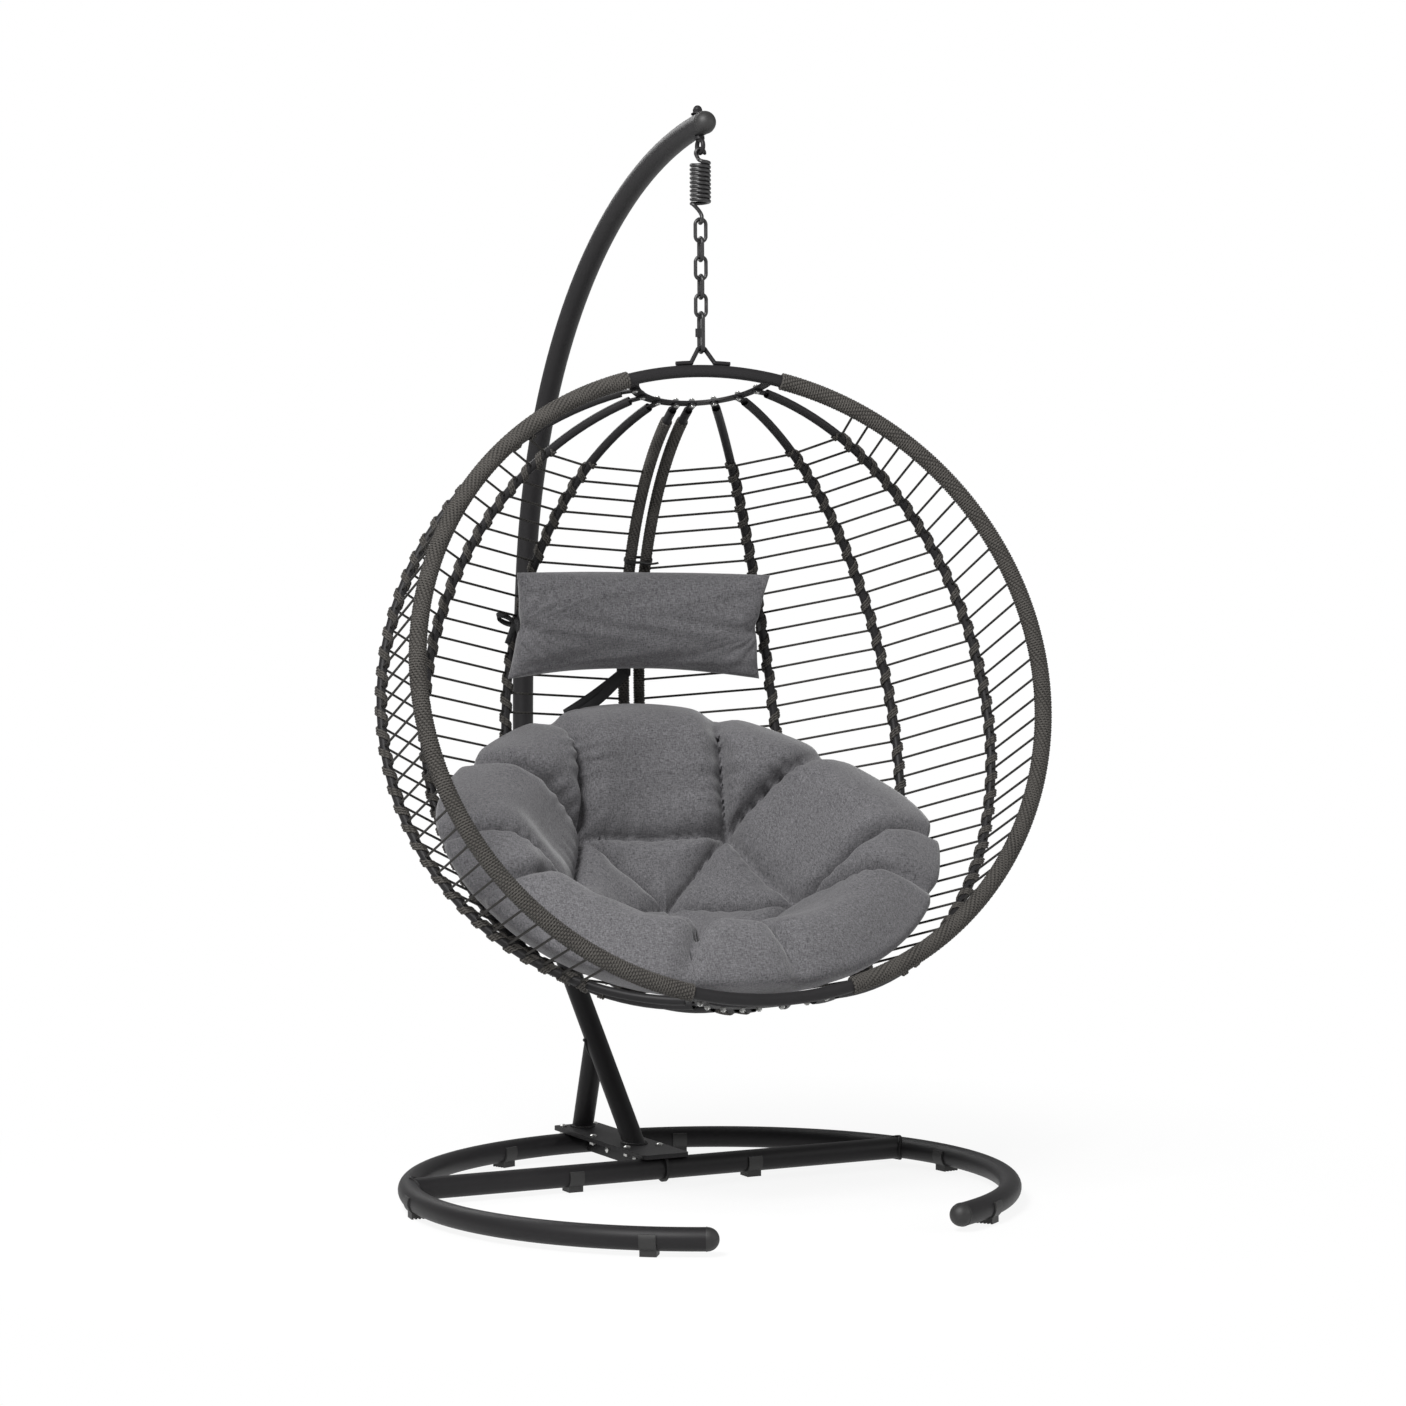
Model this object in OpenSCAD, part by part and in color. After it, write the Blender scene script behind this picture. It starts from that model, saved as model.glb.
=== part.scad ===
// Hanging egg chair: a corded basket on a spring and chain, hung from an arched stand.
// Millimetres, +Z up, the sitter faces -Y, origin on the floor at the middle of the outline.

/* [Ground ring] */
// Radius of the ground ring on its centre line
ring_r = 533; // [500:1:560]
// Outside diameter of the stand tubes
tube_d = 40; // [36:1:44]
// Wall of the stand tubes
tube_wall = 1.5; // [1.2:0.1:2.5]
// Half angle of the open front of the ring
ring_gap_angle = 27; // [20:1:32]
// Angle from the front to the seam of each front arc
ring_seam_angle = 55; // [50:1:70]
// Length of the spigot that joins two tubes
spigot_l = 40; // [25:1:60]
// Distance from the ring centre back to the crossbar
crossbar_back = 193; // [150:1:230]
// Turn of the stand about the hanging line, seen from above
stand_turn = 8; // [0:1:15]

/* [Feet and caps] */
// Height of a foot below its tube
foot_sole = 8; // [6:0.5:12]
// Width of a foot across its tube
foot_w = 30; // [24:1:36]
// Length of a foot along its tube
foot_l = 28; // [20:1:40]
// Thickness of the clip that holds a foot on its tube
foot_clip = 3; // [2:0.5:4]
// Angles of the ring feet from the front, on each side
foot_angles = [37, 98, 160];
// Distance of each crossbar foot from the middle
crossbar_foot_x = 180; // [140:1:260]
// Thickness of the rim of a tube end cap
cap_rim = 2.5; // [1.5:0.5:4]
// Depth of the plug of a tube end cap
cap_plug = 14; // [8:1:20]

/* [Mast base] */
// Width of the two base plates
plate_w = 92; // [84:1:110]
// Thickness of each base plate
plate_t = 4; // [3:0.5:6]
// Overhang of the plates in front of the crossbar
plate_front_lap = 18; // [10:1:30]
// Overhang of the plates behind the ring's centre line
plate_rear_lap = 47; // [40:1:60]
// Corner radius of the plates
plate_corner = 8; // [4:1:14]
// Distance between the two rows of plate bolts
bolt_gauge = 66; // [60:1:72]
// Distance of the front plate bolts from the front edge
bolt_front_in = 100; // [80:1:115]
// Distance of the middle plate bolts from the front edge
bolt_mid_in = 250; // [225:1:280]
// Distance of the rear plate bolts from the rear edge
bolt_rear_in = 18; // [14:1:22]
// Diameter of the base bolts
bolt_d = 8; // [6:1:10]
// Thickness of the spine under the plates
spine_t = 6; // [4:1:10]
// Depth of the spine's collar below the crossbar
spine_collar = 5; // [3:0.5:6]
// Depth of the lower plate's flange
flange_h = 34; // [28:1:36]

/* [Mast] */
// Distance of the mast foot from the plates' front edge
mast_foot_in = 140; // [120:1:160]
// Lean of the mast's straight leg from upright
leg_angle = 44; // [38:1:48]
// Length of the mast's straight leg
leg_l = 497; // [440:1:540]
// Radius of the lower bend
bend_r = 554; // [480:1:620]
// Radius of the middle stretch
mid_r = 2410; // [2000:10:3000]
// Sweep of the middle stretch
mid_angle = 7.6; // [6:0.1:9]
// Radius of the top bow
top_r = 915; // [860:1:960]
// Sweep of the top bow, up to the eye bolt
top_angle = 74; // [70:0.5:76]
// Length of the mast beyond the eye bolt
mast_past = 22; // [18:1:40]
// Distance of the brace foot from the plates' rear edge
brace_foot_in = 35; // [32:1:60]
// Height on the mast where the brace meets it, above the plates
brace_rise = 175; // [150:1:220]

/* [Suspension] */
// Diameter of the eye bolt's shank
eye_bolt_d = 10; // [8:1:12]
// Diameter of the eye's wire
eye_wire = 8; // [6:0.5:9]
// Inside diameter of the eye
eye_bore = 16; // [15:0.5:20]
// Thickness of the eye bolt's collar
collar_t = 5; // [3:0.5:8]
// Wire diameter of the spring
spring_wire = 7; // [5:0.5:8]
// Outside diameter of the spring
spring_od = 38; // [34:1:44]
// Rise of one coil of the spring
spring_pitch = 7.45; // [7.42:0.01:10]
// Whole coils in the spring, besides the last three quarters
spring_coils = 9; // [6:1:12]
// Height of the neck between the spring's upper hook and its coils
spring_neck = 16; // [14:1:24]
// Height of the neck between the spring's lower hook and its coils
low_neck = 26; // [14:1:34]
// Wire diameter of the chain
link_wire = 6.5; // [5:0.5:7]
// Outside width of a chain link
link_w = 26; // [25:0.5:32]
// Inside length of a chain link
link_inside = 33.3; // [30:0.1:40]
// Wire diameter of the quick link
quick_wire = 7; // [6:0.5:8]
// Outside width of the quick link
quick_w = 30; // [28:0.5:36]
// Outside length of the quick link
quick_l = 76; // [70:1:90]
// Gap that the screw nut closes
quick_gap = 8; // [6:0.5:10]
// Length of the screw nut
quick_nut_l = 15; // [13:0.5:18]
// Width of the screw nut across its flats
quick_nut_af = 12; // [11:0.5:14]

/* [Basket frame] */
// Radius of the front rim on its centre line
rim_r = 565; // [540:1:600]
// Diameter of the rim tube
rim_d = 22; // [20:0.5:26]
// Wall of the rim and rib tubes
rim_wall = 1.5; // [1.2:0.1:2]
// Outside diameter of the rim's cord wrapping
wrap_d = 31; // [28:0.5:36]
// Half angle of each bare stretch of rim
bare_angle = 14.5; // [14:0.5:20]
// Backward lean of the basket as it hangs
basket_tilt = 18.5; // [15:0.1:28]
// Rod diameter of the hanging loop
loop_rod = 8; // [7:0.5:10]
// Height of the loop's top above the rim's centre line
loop_h = 44; // [36:1:50]
// Width between the loop's legs at the rim
loop_w = 44; // [38:1:54]
// Length of each foot of the loop along the rim
loop_foot = 28; // [20:1:40]
// Radius of the half-rings that carry the ribs
half_ring_r = 125; // [110:1:135]
// Radial width of the half-rings
half_ring_w = 18; // [14:1:22]
// Thickness of the half-rings
half_ring_t = 4; // [3:0.5:6]
// Depth of the ribs behind the pole line at half height
rib_depth = 628; // [600:1:650]
// Distance from the pole line where the round of a rib ends
rib_end = 150; // [144:1:165]
// Diameter of the rib tubes
rib_d = 16; // [14:0.5:20]
// Angles of the roped ribs from the rear
rib_angles = [65, 46, 25];
// Distance of each centre rib from the middle
centre_rib_x = 15; // [13.5:0.5:20]
// Outside diameter of the centre ribs' wrapping
centre_wrap_d = 22; // [20:0.5:25]
// Thickness of the flattened rib ends
tab_t = 3; // [2:0.5:4]
// Diameter of the rib bolts
rib_bolt_d = 6; // [5:0.5:8]

/* [Ropes and straps] */
// Diameter of the ropes
rope_d = 4.5; // [3:0.5:6]
// Ropes in each bay between two ribs
rope_count = 35; // [20:1:36]
// Highest and lowest angle of the ropes along the ribs
rope_sweep = 63; // [50:1:66]
// Width of the webbing straps
strap_w = 20; // [15:1:25]
// Thickness of the webbing straps
strap_t = 2; // [1.5:0.5:3]
// Thickness of the cable ties
tie_t = 1.5; // [1:0.5:2]
// Height of the cable ties
tie_h = 5; // [4:0.5:8]

/* [Cushions] */
// Thickness of the seat cushion at its crown
seat_t = 130; // [90:1:150]
// Angle from the basket's middle to the side edge of the seat cushion
seat_half_w = 53; // [46:1:56]
// Angle from the basket's middle to the front and rear edges of the seat cushion
seat_half_l = 47; // [38:1:48]
// Angle of the seat cushion's middle below the rear of the basket
seat_drop = 35; // [32:1:37]
// How far the cushion lies to one side of the middle, in degrees
seat_aside = -2; // [-6:1:6]
// Depth of the seat's seams as a share of the thickness there
seat_seam = 0.3; // [0.1:0.05:0.5]
// Room left between the seat cushion and the innermost ropes
seat_clear = 0.6; // [0.4:0.1:6]
// Width of the head pillow
pillow_w = 495; // [420:1:510]
// Height of the head pillow
pillow_h = 200; // [160:1:220]
// Thickness of the head pillow
pillow_t = 110; // [80:1:120]
// Forward curl of the pillow's ends
pillow_curl = 46; // [44:1:60]
// Height of the head pillow's middle above the basket's middle
pillow_rise = 295; // [270:1:310]
// How far the pillow lies to one side of the middle, in degrees
pillow_aside = -3; // [-6:1:6]

/* [Hidden] */
$fn = 64;

frame_colour = [0.19, 0.185, 0.19];
plastic_colour = [0.06, 0.06, 0.06];
bolt_colour = [0.78, 0.78, 0.77];
cord_colour = [0.33, 0.31, 0.28];
fabric_colour = [0.44, 0.44, 0.45];

// Room left between pieces that only touch, and round pins and sockets
seat_gap = 0.1;
loop_gap = 0.2;
tie_clear = 0.5;
tie_out = [4.2, 2];
hang_gap = 0.3;
socket_gap = 0.1;
hole_gap = 0.4;

tube_r = tube_d / 2;
bore_r = tube_r - tube_wall;
ring_z = foot_sole + tube_r;
crossbar_half = sqrt(ring_r * ring_r - crossbar_back * crossbar_back);

// The base plates lie on the crossbar and on the rear of the ring
plate_front = crossbar_back - plate_front_lap;
plate_rear = ring_r + plate_rear_lap;
plate_l = plate_rear - plate_front;
plate_z = ring_z + tube_r + seat_gap;
plate_top = plate_z + 2 * plate_t;
bolt_rows = [plate_front + bolt_front_in, plate_front + bolt_mid_in, plate_rear - bolt_rear_in];
nut_h = bolt_d * 0.8;
spine_bolt_rows = [plate_front + 0.32 * plate_l, plate_front + 0.62 * plate_l];
spine_bolt_z = ring_z + tube_r - flange_h * 0.55;
flange_rows = [crossbar_back + tube_r + 20, ring_r - tube_r - 20];

// The mast is a chain of tangent stretches in the stand's middle plane, as [rearward, height] points
mast_foot = [plate_front + mast_foot_in, plate_top];
leg_end = mast_foot + leg_l * [sin(leg_angle), cos(leg_angle)];
bend_centre = leg_end + bend_r * [-cos(leg_angle), sin(leg_angle)];
mid_centre = bend_centre + [bend_r - mid_r, 0];
mid_end = mid_centre + mid_r * [cos(mid_angle), sin(mid_angle)];
top_centre = mid_end - top_r * [cos(mid_angle), sin(mid_angle)];
eye_angle = mid_angle + top_angle;
past_angle = mast_past / top_r * 180 / PI;
eye_out = [cos(eye_angle), sin(eye_angle)];
eye_seat = top_centre + top_r * eye_out;
eye_r = (eye_bore + eye_wire) / 2;
eye_drop = tube_r + seat_gap + collar_t + eye_r;
eye_centre = eye_seat - eye_drop * eye_out;
brace_foot = [plate_rear - brace_foot_in, plate_top];
brace_head = mast_foot + brace_rise * [tan(leg_angle), 1];
brace_run = brace_head - brace_foot;

// The hanging line stands below the eye, and the origin below the middle of the whole outline
hang_back = eye_centre[0];
mast_reach = (bend_centre[0] + bend_r - hang_back) * cos(stand_turn) + tube_r;
ring_reach = ring_r * cos(max(ring_gap_angle - stand_turn, 0)) + hang_back * cos(stand_turn) + tube_r + cap_rim;
hang_y = (ring_reach - mast_reach) / 2;

// Heights down the hanging line
spring_r = (spring_od - spring_wire) / 2;
hook_r = max(eye_wire, link_wire) / 2 + spring_wire / 2 + 0.5;
eye_low = eye_centre[1] - eye_r;
hook_top = eye_low + (eye_wire + spring_wire) / 2 + hang_gap;
coil_top = hook_top - 2 * hook_r - spring_neck + hook_r;
coil_turns = spring_coils + 0.75;
coil_bottom = coil_top - coil_turns * spring_pitch;
hook_bottom = coil_bottom - low_neck - hook_r;
link_arc = (link_w - link_wire) / 2;
link_span = link_inside + link_wire;
link_pitch = link_span - link_wire - hang_gap;
link_1_top = hook_bottom + (spring_wire + link_wire) / 2 + hang_gap;
chain_low = link_1_top - 4 * link_pitch - link_span;
quick_arc = (quick_w - quick_wire) / 2;
quick_span = quick_l - quick_wire;
quick_top = chain_low + (link_wire + quick_wire) / 2 + hang_gap;
quick_low = quick_top - quick_span;
quick_mid = (quick_top + quick_low) / 2;
loop_top = quick_low + (quick_wire + loop_rod) / 2 + hang_gap;

// The basket's own frame has its origin at the rim's middle, +Y to the rear and +Z up the pole line
rim_tube_r = rim_d / 2;
wrap_r = wrap_d / 2;
rib_r = rib_d / 2;
centre_wrap_r = centre_wrap_d / 2;
rope_r = rope_d / 2;
half_ring_z = sqrt(rim_r * rim_r - half_ring_r * half_ring_r);
rib_end_z = half_ring_z - half_ring_t / 2 - tab_t / 2;
rib_offset = (rib_depth * rib_depth - rib_end * rib_end - rib_end_z * rib_end_z) / (2 * (rib_depth - rib_end));
rib_bend = rib_depth - rib_offset;
rib_sweep = asin(rib_end_z / rib_bend);
wrap_sweep = rib_sweep - 4;
rib_bolt_head_h = 4;
rib_nut_h = 5;
rope_dip = rib_depth * (1 - cos(rib_angles[2] / 2));
seat_room = rope_dip + rope_r + seat_clear;
rope_step = 2 * rope_sweep / (rope_count - 1);
function rope_window(b) = (floor((b + rope_sweep) / rope_step) + 0.5) * rope_step - rope_sweep;
tie_angles = [rope_window(43), rope_window(9), rope_window(-31)];
strap_angle = rope_window(20);

// Unit vector, and the direction of the basket wall at side angle a and height angle b
function unit(v) = v / norm(v);
function wall_dir(a, b) = [sin(a), cos(a) * cos(b), cos(a) * sin(b)];

// Distance from the basket's middle to the surface of the ribs, in direction d, for a bend radius r
function wall_reach(d, r) =
    rib_offset * norm([d[0], d[1]]) + sqrt(r * r - pow(rib_offset * d[2], 2));

// Tube along a path of points: rings of equal sides, carried along without twist, with flat ends
function tangents(p) =
    [for (i = [0:len(p) - 1]) unit(p[min(i + 1, len(p) - 1)] - p[max(i - 1, 0)])];
function carried(n, t) = unit(n - (n * t) * t);
function normals(t) =
    [for (i = 0, n = carried([0.31, 0.27, 0.91], t[0]); i < len(t);
        n = carried(n, t[min(i + 1, len(t) - 1)]), i = i + 1) n];
function ring_points(p, t, n, r, sides) =
    [for (i = [0:len(p) - 1]) for (k = [0:sides - 1])
        p[i] + r * (cos(360 * k / sides) * n[i] + sin(360 * k / sides) * cross(t[i], n[i]))];
function wall_faces(rows, cols) =
    [for (i = [0:rows - 2]) for (k = [0:cols - 1]) for (half = [0, 1])
        let (a = i * cols + k, b = i * cols + (k + 1) % cols)
        half == 0 ? [a, a + cols, b] : [b, a + cols, b + cols]];
function end_faces(first, cols, flip) =
    [for (k = [1:cols - 2]) flip ? [first, first + k, first + k + 1] : [first, first + k + 1, first + k]];

module swept_tube(path, r, sides) {
    t = tangents(path);
    points = ring_points(path, t, normals(t), r, sides);
    polyhedron(
        points,
        concat(
            wall_faces(len(path), sides),
            end_faces(0, sides, true),
            end_faces((len(path) - 1) * sides, sides, false)
        )
    );
}

// Closed skin from rows of points that run round it, closed by a pole point at each end
module closed_skin(low_pole, rows, high_pole) {
    cols = len(rows[0]);
    points = concat([low_pole], [for (row = rows) for (p = row) p], [high_pole]);
    last = len(points) - 1;
    polyhedron(
        points,
        concat(
            [for (f = wall_faces(len(rows), cols)) [for (v = f) v + 1]],
            [for (k = [0:cols - 1]) [0, 1 + k, 1 + (k + 1) % cols]],
            [for (k = [0:cols - 1]) [last, last - cols + (k + 1) % cols, last - cols + k]]
        )
    );
}

module pipe_section(outer, inner) {
    difference() {
        circle(outer);
        circle(inner);
    }
}

module bent_pipe(bend, from, sweep, outer, inner) {
    rotate([0, 0, from])
        rotate_extrude(angle = sweep, $fn = 180)
            translate([bend, 0])
                pipe_section(outer, inner);
}

module bent_rod(bend, from, sweep, r) {
    rotate([0, 0, from])
        rotate_extrude(angle = sweep, $fn = 180)
            translate([bend, 0])
                circle(r);
}

// Spigot at angle at, reaching back by its own length, with a collar that welds it in its own tube
module bent_spigot(bend, at, side, bore, wall, l) {
    reach = l / bend * 180 / PI;
    own = 6 / bend * 180 / PI;
    outer = bore - socket_gap;
    inner = outer - wall;
    from = side > 0 ? at - reach : at - own;
    bent_pipe(bend, from, reach + own, outer, inner);
    bent_pipe(bend, side > 0 ? at + own * 0.2 : at - own * 0.9, own * 0.7, bore + wall / 2, outer - wall / 2);
}

module rod_between(a, b, r) {
    d = b - a;
    translate(a)
        rotate([0, acos(d[2] / norm(d)), atan2(d[1], d[0])])
            cylinder(r = r, h = norm(d), $fn = 32);
}

module hex_prism(r, h) {
    cylinder(r = r, h = h, $fn = 6);
}

// Domed plastic cap with its plug below z = 0 and its rim on the tube's end
module tube_cap() {
    plug_r = bore_r - hole_gap;
    rotate_extrude() {
        translate([0, -cap_plug])
            square([plug_r, cap_plug + cap_rim]);
        square([tube_r + 0.5, cap_rim]);
        translate([0, cap_rim])
            intersection() {
                circle(tube_r);
                square(tube_r);
            }
    }
}

// The stand's own frame has its origin on the floor below the ring's centre
module in_stand() {
    translate([0, hang_y, 0])
        rotate([0, 0, stand_turn])
            translate([0, -hang_back, 0])
                children();
}

// Drawings of [rearward, height] in the stand's middle plane
module in_side_plane() {
    rotate([90, 0, 90])
        children();
}

// Places a child, drawn along +Z, on the ring at an angle from the front, facing the open front
module at_ring_angle(angle) {
    rotate([0, 0, -90 + angle])
        translate([ring_r, 0, ring_z])
            rotate([angle > 0 ? 90 : -90, 0, 0])
                children();
}

module on_hang_line(z) {
    translate([0, hang_y, z])
        children();
}

module in_basket() {
    on_hang_line(loop_top)
        rotate([-basket_tilt, 0, 0])
            translate([0, 0, -rim_r - loop_h])
                children();
}

// Drawings of the rim plane, with the angle counted from the right side upwards
module in_rim_plane() {
    rotate([90, 0, 0])
        children();
}

// Drawings of a rib's plane, [out from the pole line, up], at an angle from the rear
module in_rib_plane(angle, shift) {
    translate([shift, 0, 0])
        rotate([0, 0, 90 - angle])
            rotate([90, 0, 0])
                children();
}

module both_sides() {
    children();
    mirror([1, 0, 0])
        children();
}

module rear_ring() {
    sweep = 360 - 2 * ring_seam_angle;
    color(frame_colour)
        in_stand()
            translate([0, 0, ring_z])
                bent_pipe(ring_r, -90 + ring_seam_angle, sweep, tube_r, bore_r);
}

module front_arc() {
    translate([0, 0, ring_z]) {
        bent_pipe(ring_r, -90 - ring_seam_angle, ring_seam_angle - ring_gap_angle, tube_r, bore_r);
        bent_spigot(ring_r, -90 - ring_seam_angle, 1, bore_r, tube_wall, spigot_l);
    }
}

module left_ring_arc() {
    color(frame_colour)
        in_stand()
            front_arc();
}

module right_ring_arc() {
    color(frame_colour)
        in_stand()
            mirror([1, 0, 0])
                front_arc();
}

module crossbar() {
    color(frame_colour)
        in_stand()
            difference() {
                translate([-crossbar_half, crossbar_back, ring_z])
                    rotate([0, 90, 0])
                        difference() {
                            cylinder(r = tube_r, h = 2 * crossbar_half);
                            translate([0, 0, -1])
                                cylinder(r = bore_r, h = 2 * crossbar_half + 2);
                        }
                translate([0, 0, ring_z])
                    rotate_extrude($fn = 180)
                        translate([ring_r, 0])
                            circle(tube_r + seat_gap);
            }
}

module ring_end_caps() {
    color(plastic_colour)
        in_stand()
            for (side = [-1, 1])
                at_ring_angle(side * ring_gap_angle)
                    tube_cap();
}

// Section of a foot: an open clip round the tube, and a block with a grooved sole
module foot_section() {
    groove = foot_w / 9;
    difference() {
        union() {
            circle(tube_r + foot_clip);
            translate([-foot_w / 2, -tube_r - foot_sole])
                square([foot_w, tube_r]);
        }
        circle(tube_r + socket_gap);
        translate([-tube_d, tube_r * 0.5])
            square([2 * tube_d, tube_d]);
        for (k = [-1.5:1:1.5])
            translate([k * 2 * groove - groove / 2, -tube_r - foot_sole - 1])
                square([groove, 1 + foot_sole * 0.3]);
    }
}

module ring_feet() {
    width = foot_l / ring_r * 180 / PI;
    color(plastic_colour)
        in_stand()
            both_sides()
                for (angle = foot_angles)
                    translate([0, 0, ring_z])
                        rotate([0, 0, -90 + angle - width / 2])
                            rotate_extrude(angle = width, $fn = 180)
                                translate([ring_r, 0])
                                    foot_section();
}

module crossbar_feet() {
    color(plastic_colour)
        in_stand()
            for (side = [-1, 1])
                translate([side * crossbar_foot_x - foot_l / 2, crossbar_back, ring_z])
                    rotate([90, 0, 90])
                        linear_extrude(foot_l)
                            foot_section();
}

// Upright fin from the crossbar to the rear of the ring, coped round both
module base_spine() {
    color(frame_colour)
        in_stand()
            translate([-spine_t / 2, 0, 0])
                in_side_plane()
                    linear_extrude(spine_t)
                        difference() {
                            union() {
                                translate([crossbar_back, ring_z + tube_r - flange_h])
                                    square([ring_r - crossbar_back, flange_h]);
                                translate([crossbar_back, ring_z])
                                    circle(tube_r + spine_collar);
                            }
                            translate([crossbar_back, ring_z])
                                circle(tube_r + seat_gap);
                            translate([ring_r, ring_z])
                                circle(tube_r + seat_gap);
                            translate([crossbar_back - tube_d, ring_z + tube_r])
                                square([ring_r, tube_d]);
                            for (y = spine_bolt_rows)
                                translate([y, spine_bolt_z])
                                    circle((bolt_d + hole_gap) / 2);
                        }
}

module plate_outline() {
    inner_w = plate_w - 2 * plate_corner;
    translate([-plate_w / 2, plate_front + plate_corner])
        square([plate_w, plate_l - 2 * plate_corner]);
    translate([-inner_w / 2, plate_front])
        square([inner_w, plate_l]);
    for (x = [-inner_w / 2, inner_w / 2])
        for (y = [plate_front + plate_corner, plate_rear - plate_corner])
            translate([x, y])
                circle(plate_corner);
}

module bolt_places() {
    for (x = [-bolt_gauge / 2, bolt_gauge / 2])
        for (y = bolt_rows)
            translate([x, y])
                children();
}

module base_plate() {
    linear_extrude(plate_t)
        difference() {
            plate_outline();
            bolt_places()
                circle((bolt_d + hole_gap) / 2);
        }
}

// Plate on the tubes, with a flange that hangs beside the spine
module lower_plate() {
    color(frame_colour)
        in_stand() {
            translate([0, 0, plate_z])
                base_plate();
            translate([spine_t / 2 + seat_gap, 0, 0])
                in_side_plane()
                    linear_extrude(plate_t)
                        difference() {
                            translate([flange_rows[0], ring_z + tube_r - flange_h])
                                square([flange_rows[1] - flange_rows[0], flange_h + 1]);
                            for (y = spine_bolt_rows)
                                translate([y, spine_bolt_z])
                                    circle((bolt_d + hole_gap) / 2);
                        }
        }
}

module mast_plate() {
    color(frame_colour)
        in_stand()
            translate([0, 0, plate_z + plate_t])
                base_plate();
}

// Button head bolt: head above z = 0, shank of length l below
module button_bolt(d, l) {
    rotate_extrude()
        intersection() {
            union() {
                square([d * 0.85, d * 0.25]);
                translate([0, -d * 0.65])
                    circle(d * 1.2);
            }
            square([d * 0.85, d * 0.55]);
        }
    translate([0, 0, -l])
        cylinder(r = d / 2, h = l);
}

module hex_nut(d, h) {
    difference() {
        hex_prism(d * 0.92, h);
        translate([0, 0, -1])
            cylinder(r = d / 2 + seat_gap / 2, h = h + 2);
    }
}

module plate_bolts() {
    color(bolt_colour)
        in_stand()
            translate([0, 0, plate_top])
                bolt_places()
                    button_bolt(bolt_d, 2 * plate_t + nut_h + 2);
}

module plate_nuts() {
    color(bolt_colour)
        in_stand()
            translate([0, 0, plate_z - nut_h])
                bolt_places()
                    hex_nut(bolt_d, nut_h);
}

module spine_bolts() {
    color(bolt_colour)
        in_stand()
            for (y = spine_bolt_rows)
                translate([-spine_t / 2, y, spine_bolt_z])
                    rotate([0, -90, 0])
                        button_bolt(bolt_d, spine_t + seat_gap + plate_t + nut_h + 2);
}

module spine_nuts() {
    color(bolt_colour)
        in_stand()
            for (y = spine_bolt_rows)
                translate([spine_t / 2 + seat_gap + plate_t, y, spine_bolt_z])
                    rotate([0, 90, 0])
                        hex_nut(bolt_d, nut_h);
}

// Straight stretch from a [rearward, height] point, along a direction, drawn in the side plane
module straight_rod(from, run, before, after, r) {
    translate([from[0], from[1], 0])
        rotate([0, 0, atan2(run[1], run[0])])
            rotate([0, 90, 0])
                translate([0, 0, -before])
                    cylinder(r = r, h = before + after);
}

module below_plates() {
    translate([-tube_d, plate_front - tube_d, plate_top - 4 * tube_d])
        cube([2 * tube_d, plate_l + 2 * tube_d, 4 * tube_d]);
}

module leg_rod(r, after) {
    straight_rod(mast_foot, leg_end - mast_foot, 2 * tube_d, leg_l + after, r);
}

module lower_mast() {
    color(frame_colour)
        in_stand()
            difference() {
                in_side_plane()
                    translate([leg_end[0], leg_end[1], 0])
                        rotate([0, 0, -leg_angle]) {
                            rotate([90, 0, 0])
                                linear_extrude(leg_l + 2 * tube_d)
                                    pipe_section(tube_r, bore_r);
                            translate([-bend_r, 0, 0])
                                bent_pipe(bend_r, 0, leg_angle, tube_r, bore_r);
                        }
                below_plates();
            }
}

module middle_mast() {
    color(frame_colour)
        in_stand()
            in_side_plane() {
                translate([bend_centre[0], bend_centre[1], 0])
                    bent_spigot(bend_r, 0, 1, bore_r, tube_wall, spigot_l);
                translate([mid_centre[0], mid_centre[1], 0])
                    bent_pipe(mid_r, 0, mid_angle, tube_r, bore_r);
            }
}

module mast_bow() {
    color(frame_colour)
        in_stand()
            in_side_plane() {
                translate([mid_centre[0], mid_centre[1], 0])
                    bent_spigot(mid_r, mid_angle, 1, bore_r, tube_wall, spigot_l);
                translate([top_centre[0], top_centre[1], 0])
                    difference() {
                        bent_pipe(top_r, mid_angle, top_angle + past_angle, tube_r, bore_r);
                        rotate([0, 0, eye_angle])
                            translate([top_r - tube_d, 0, 0])
                                rotate([0, 90, 0])
                                    cylinder(r = eye_bolt_d / 2 + hole_gap, h = 2 * tube_d);
                    }
            }
}

module mast_brace() {
    color(frame_colour)
        in_stand()
            difference() {
                in_side_plane()
                    difference() {
                        straight_rod(brace_foot, brace_run, 2 * tube_d, norm(brace_run), tube_r);
                        straight_rod(brace_foot, brace_run, 2 * tube_d + 1, norm(brace_run) + 1, bore_r);
                        leg_rod(tube_r + seat_gap, 0);
                    }
                below_plates();
            }
}

module mast_end_cap() {
    end_angle = eye_angle + past_angle;
    color(plastic_colour)
        in_stand()
            in_side_plane()
                translate([top_centre[0], top_centre[1], 0])
                    rotate([0, 0, end_angle])
                        translate([top_r, 0, 0])
                            rotate([-90, 0, 0])
                                tube_cap();
}

// Draws along the eye bolt's axis, from the mast's centre line outwards
module at_eye_bolt() {
    in_stand()
        translate([0, eye_seat[0], eye_seat[1]])
            rotate([eye_angle - 90, 0, 0])
                children();
}

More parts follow.
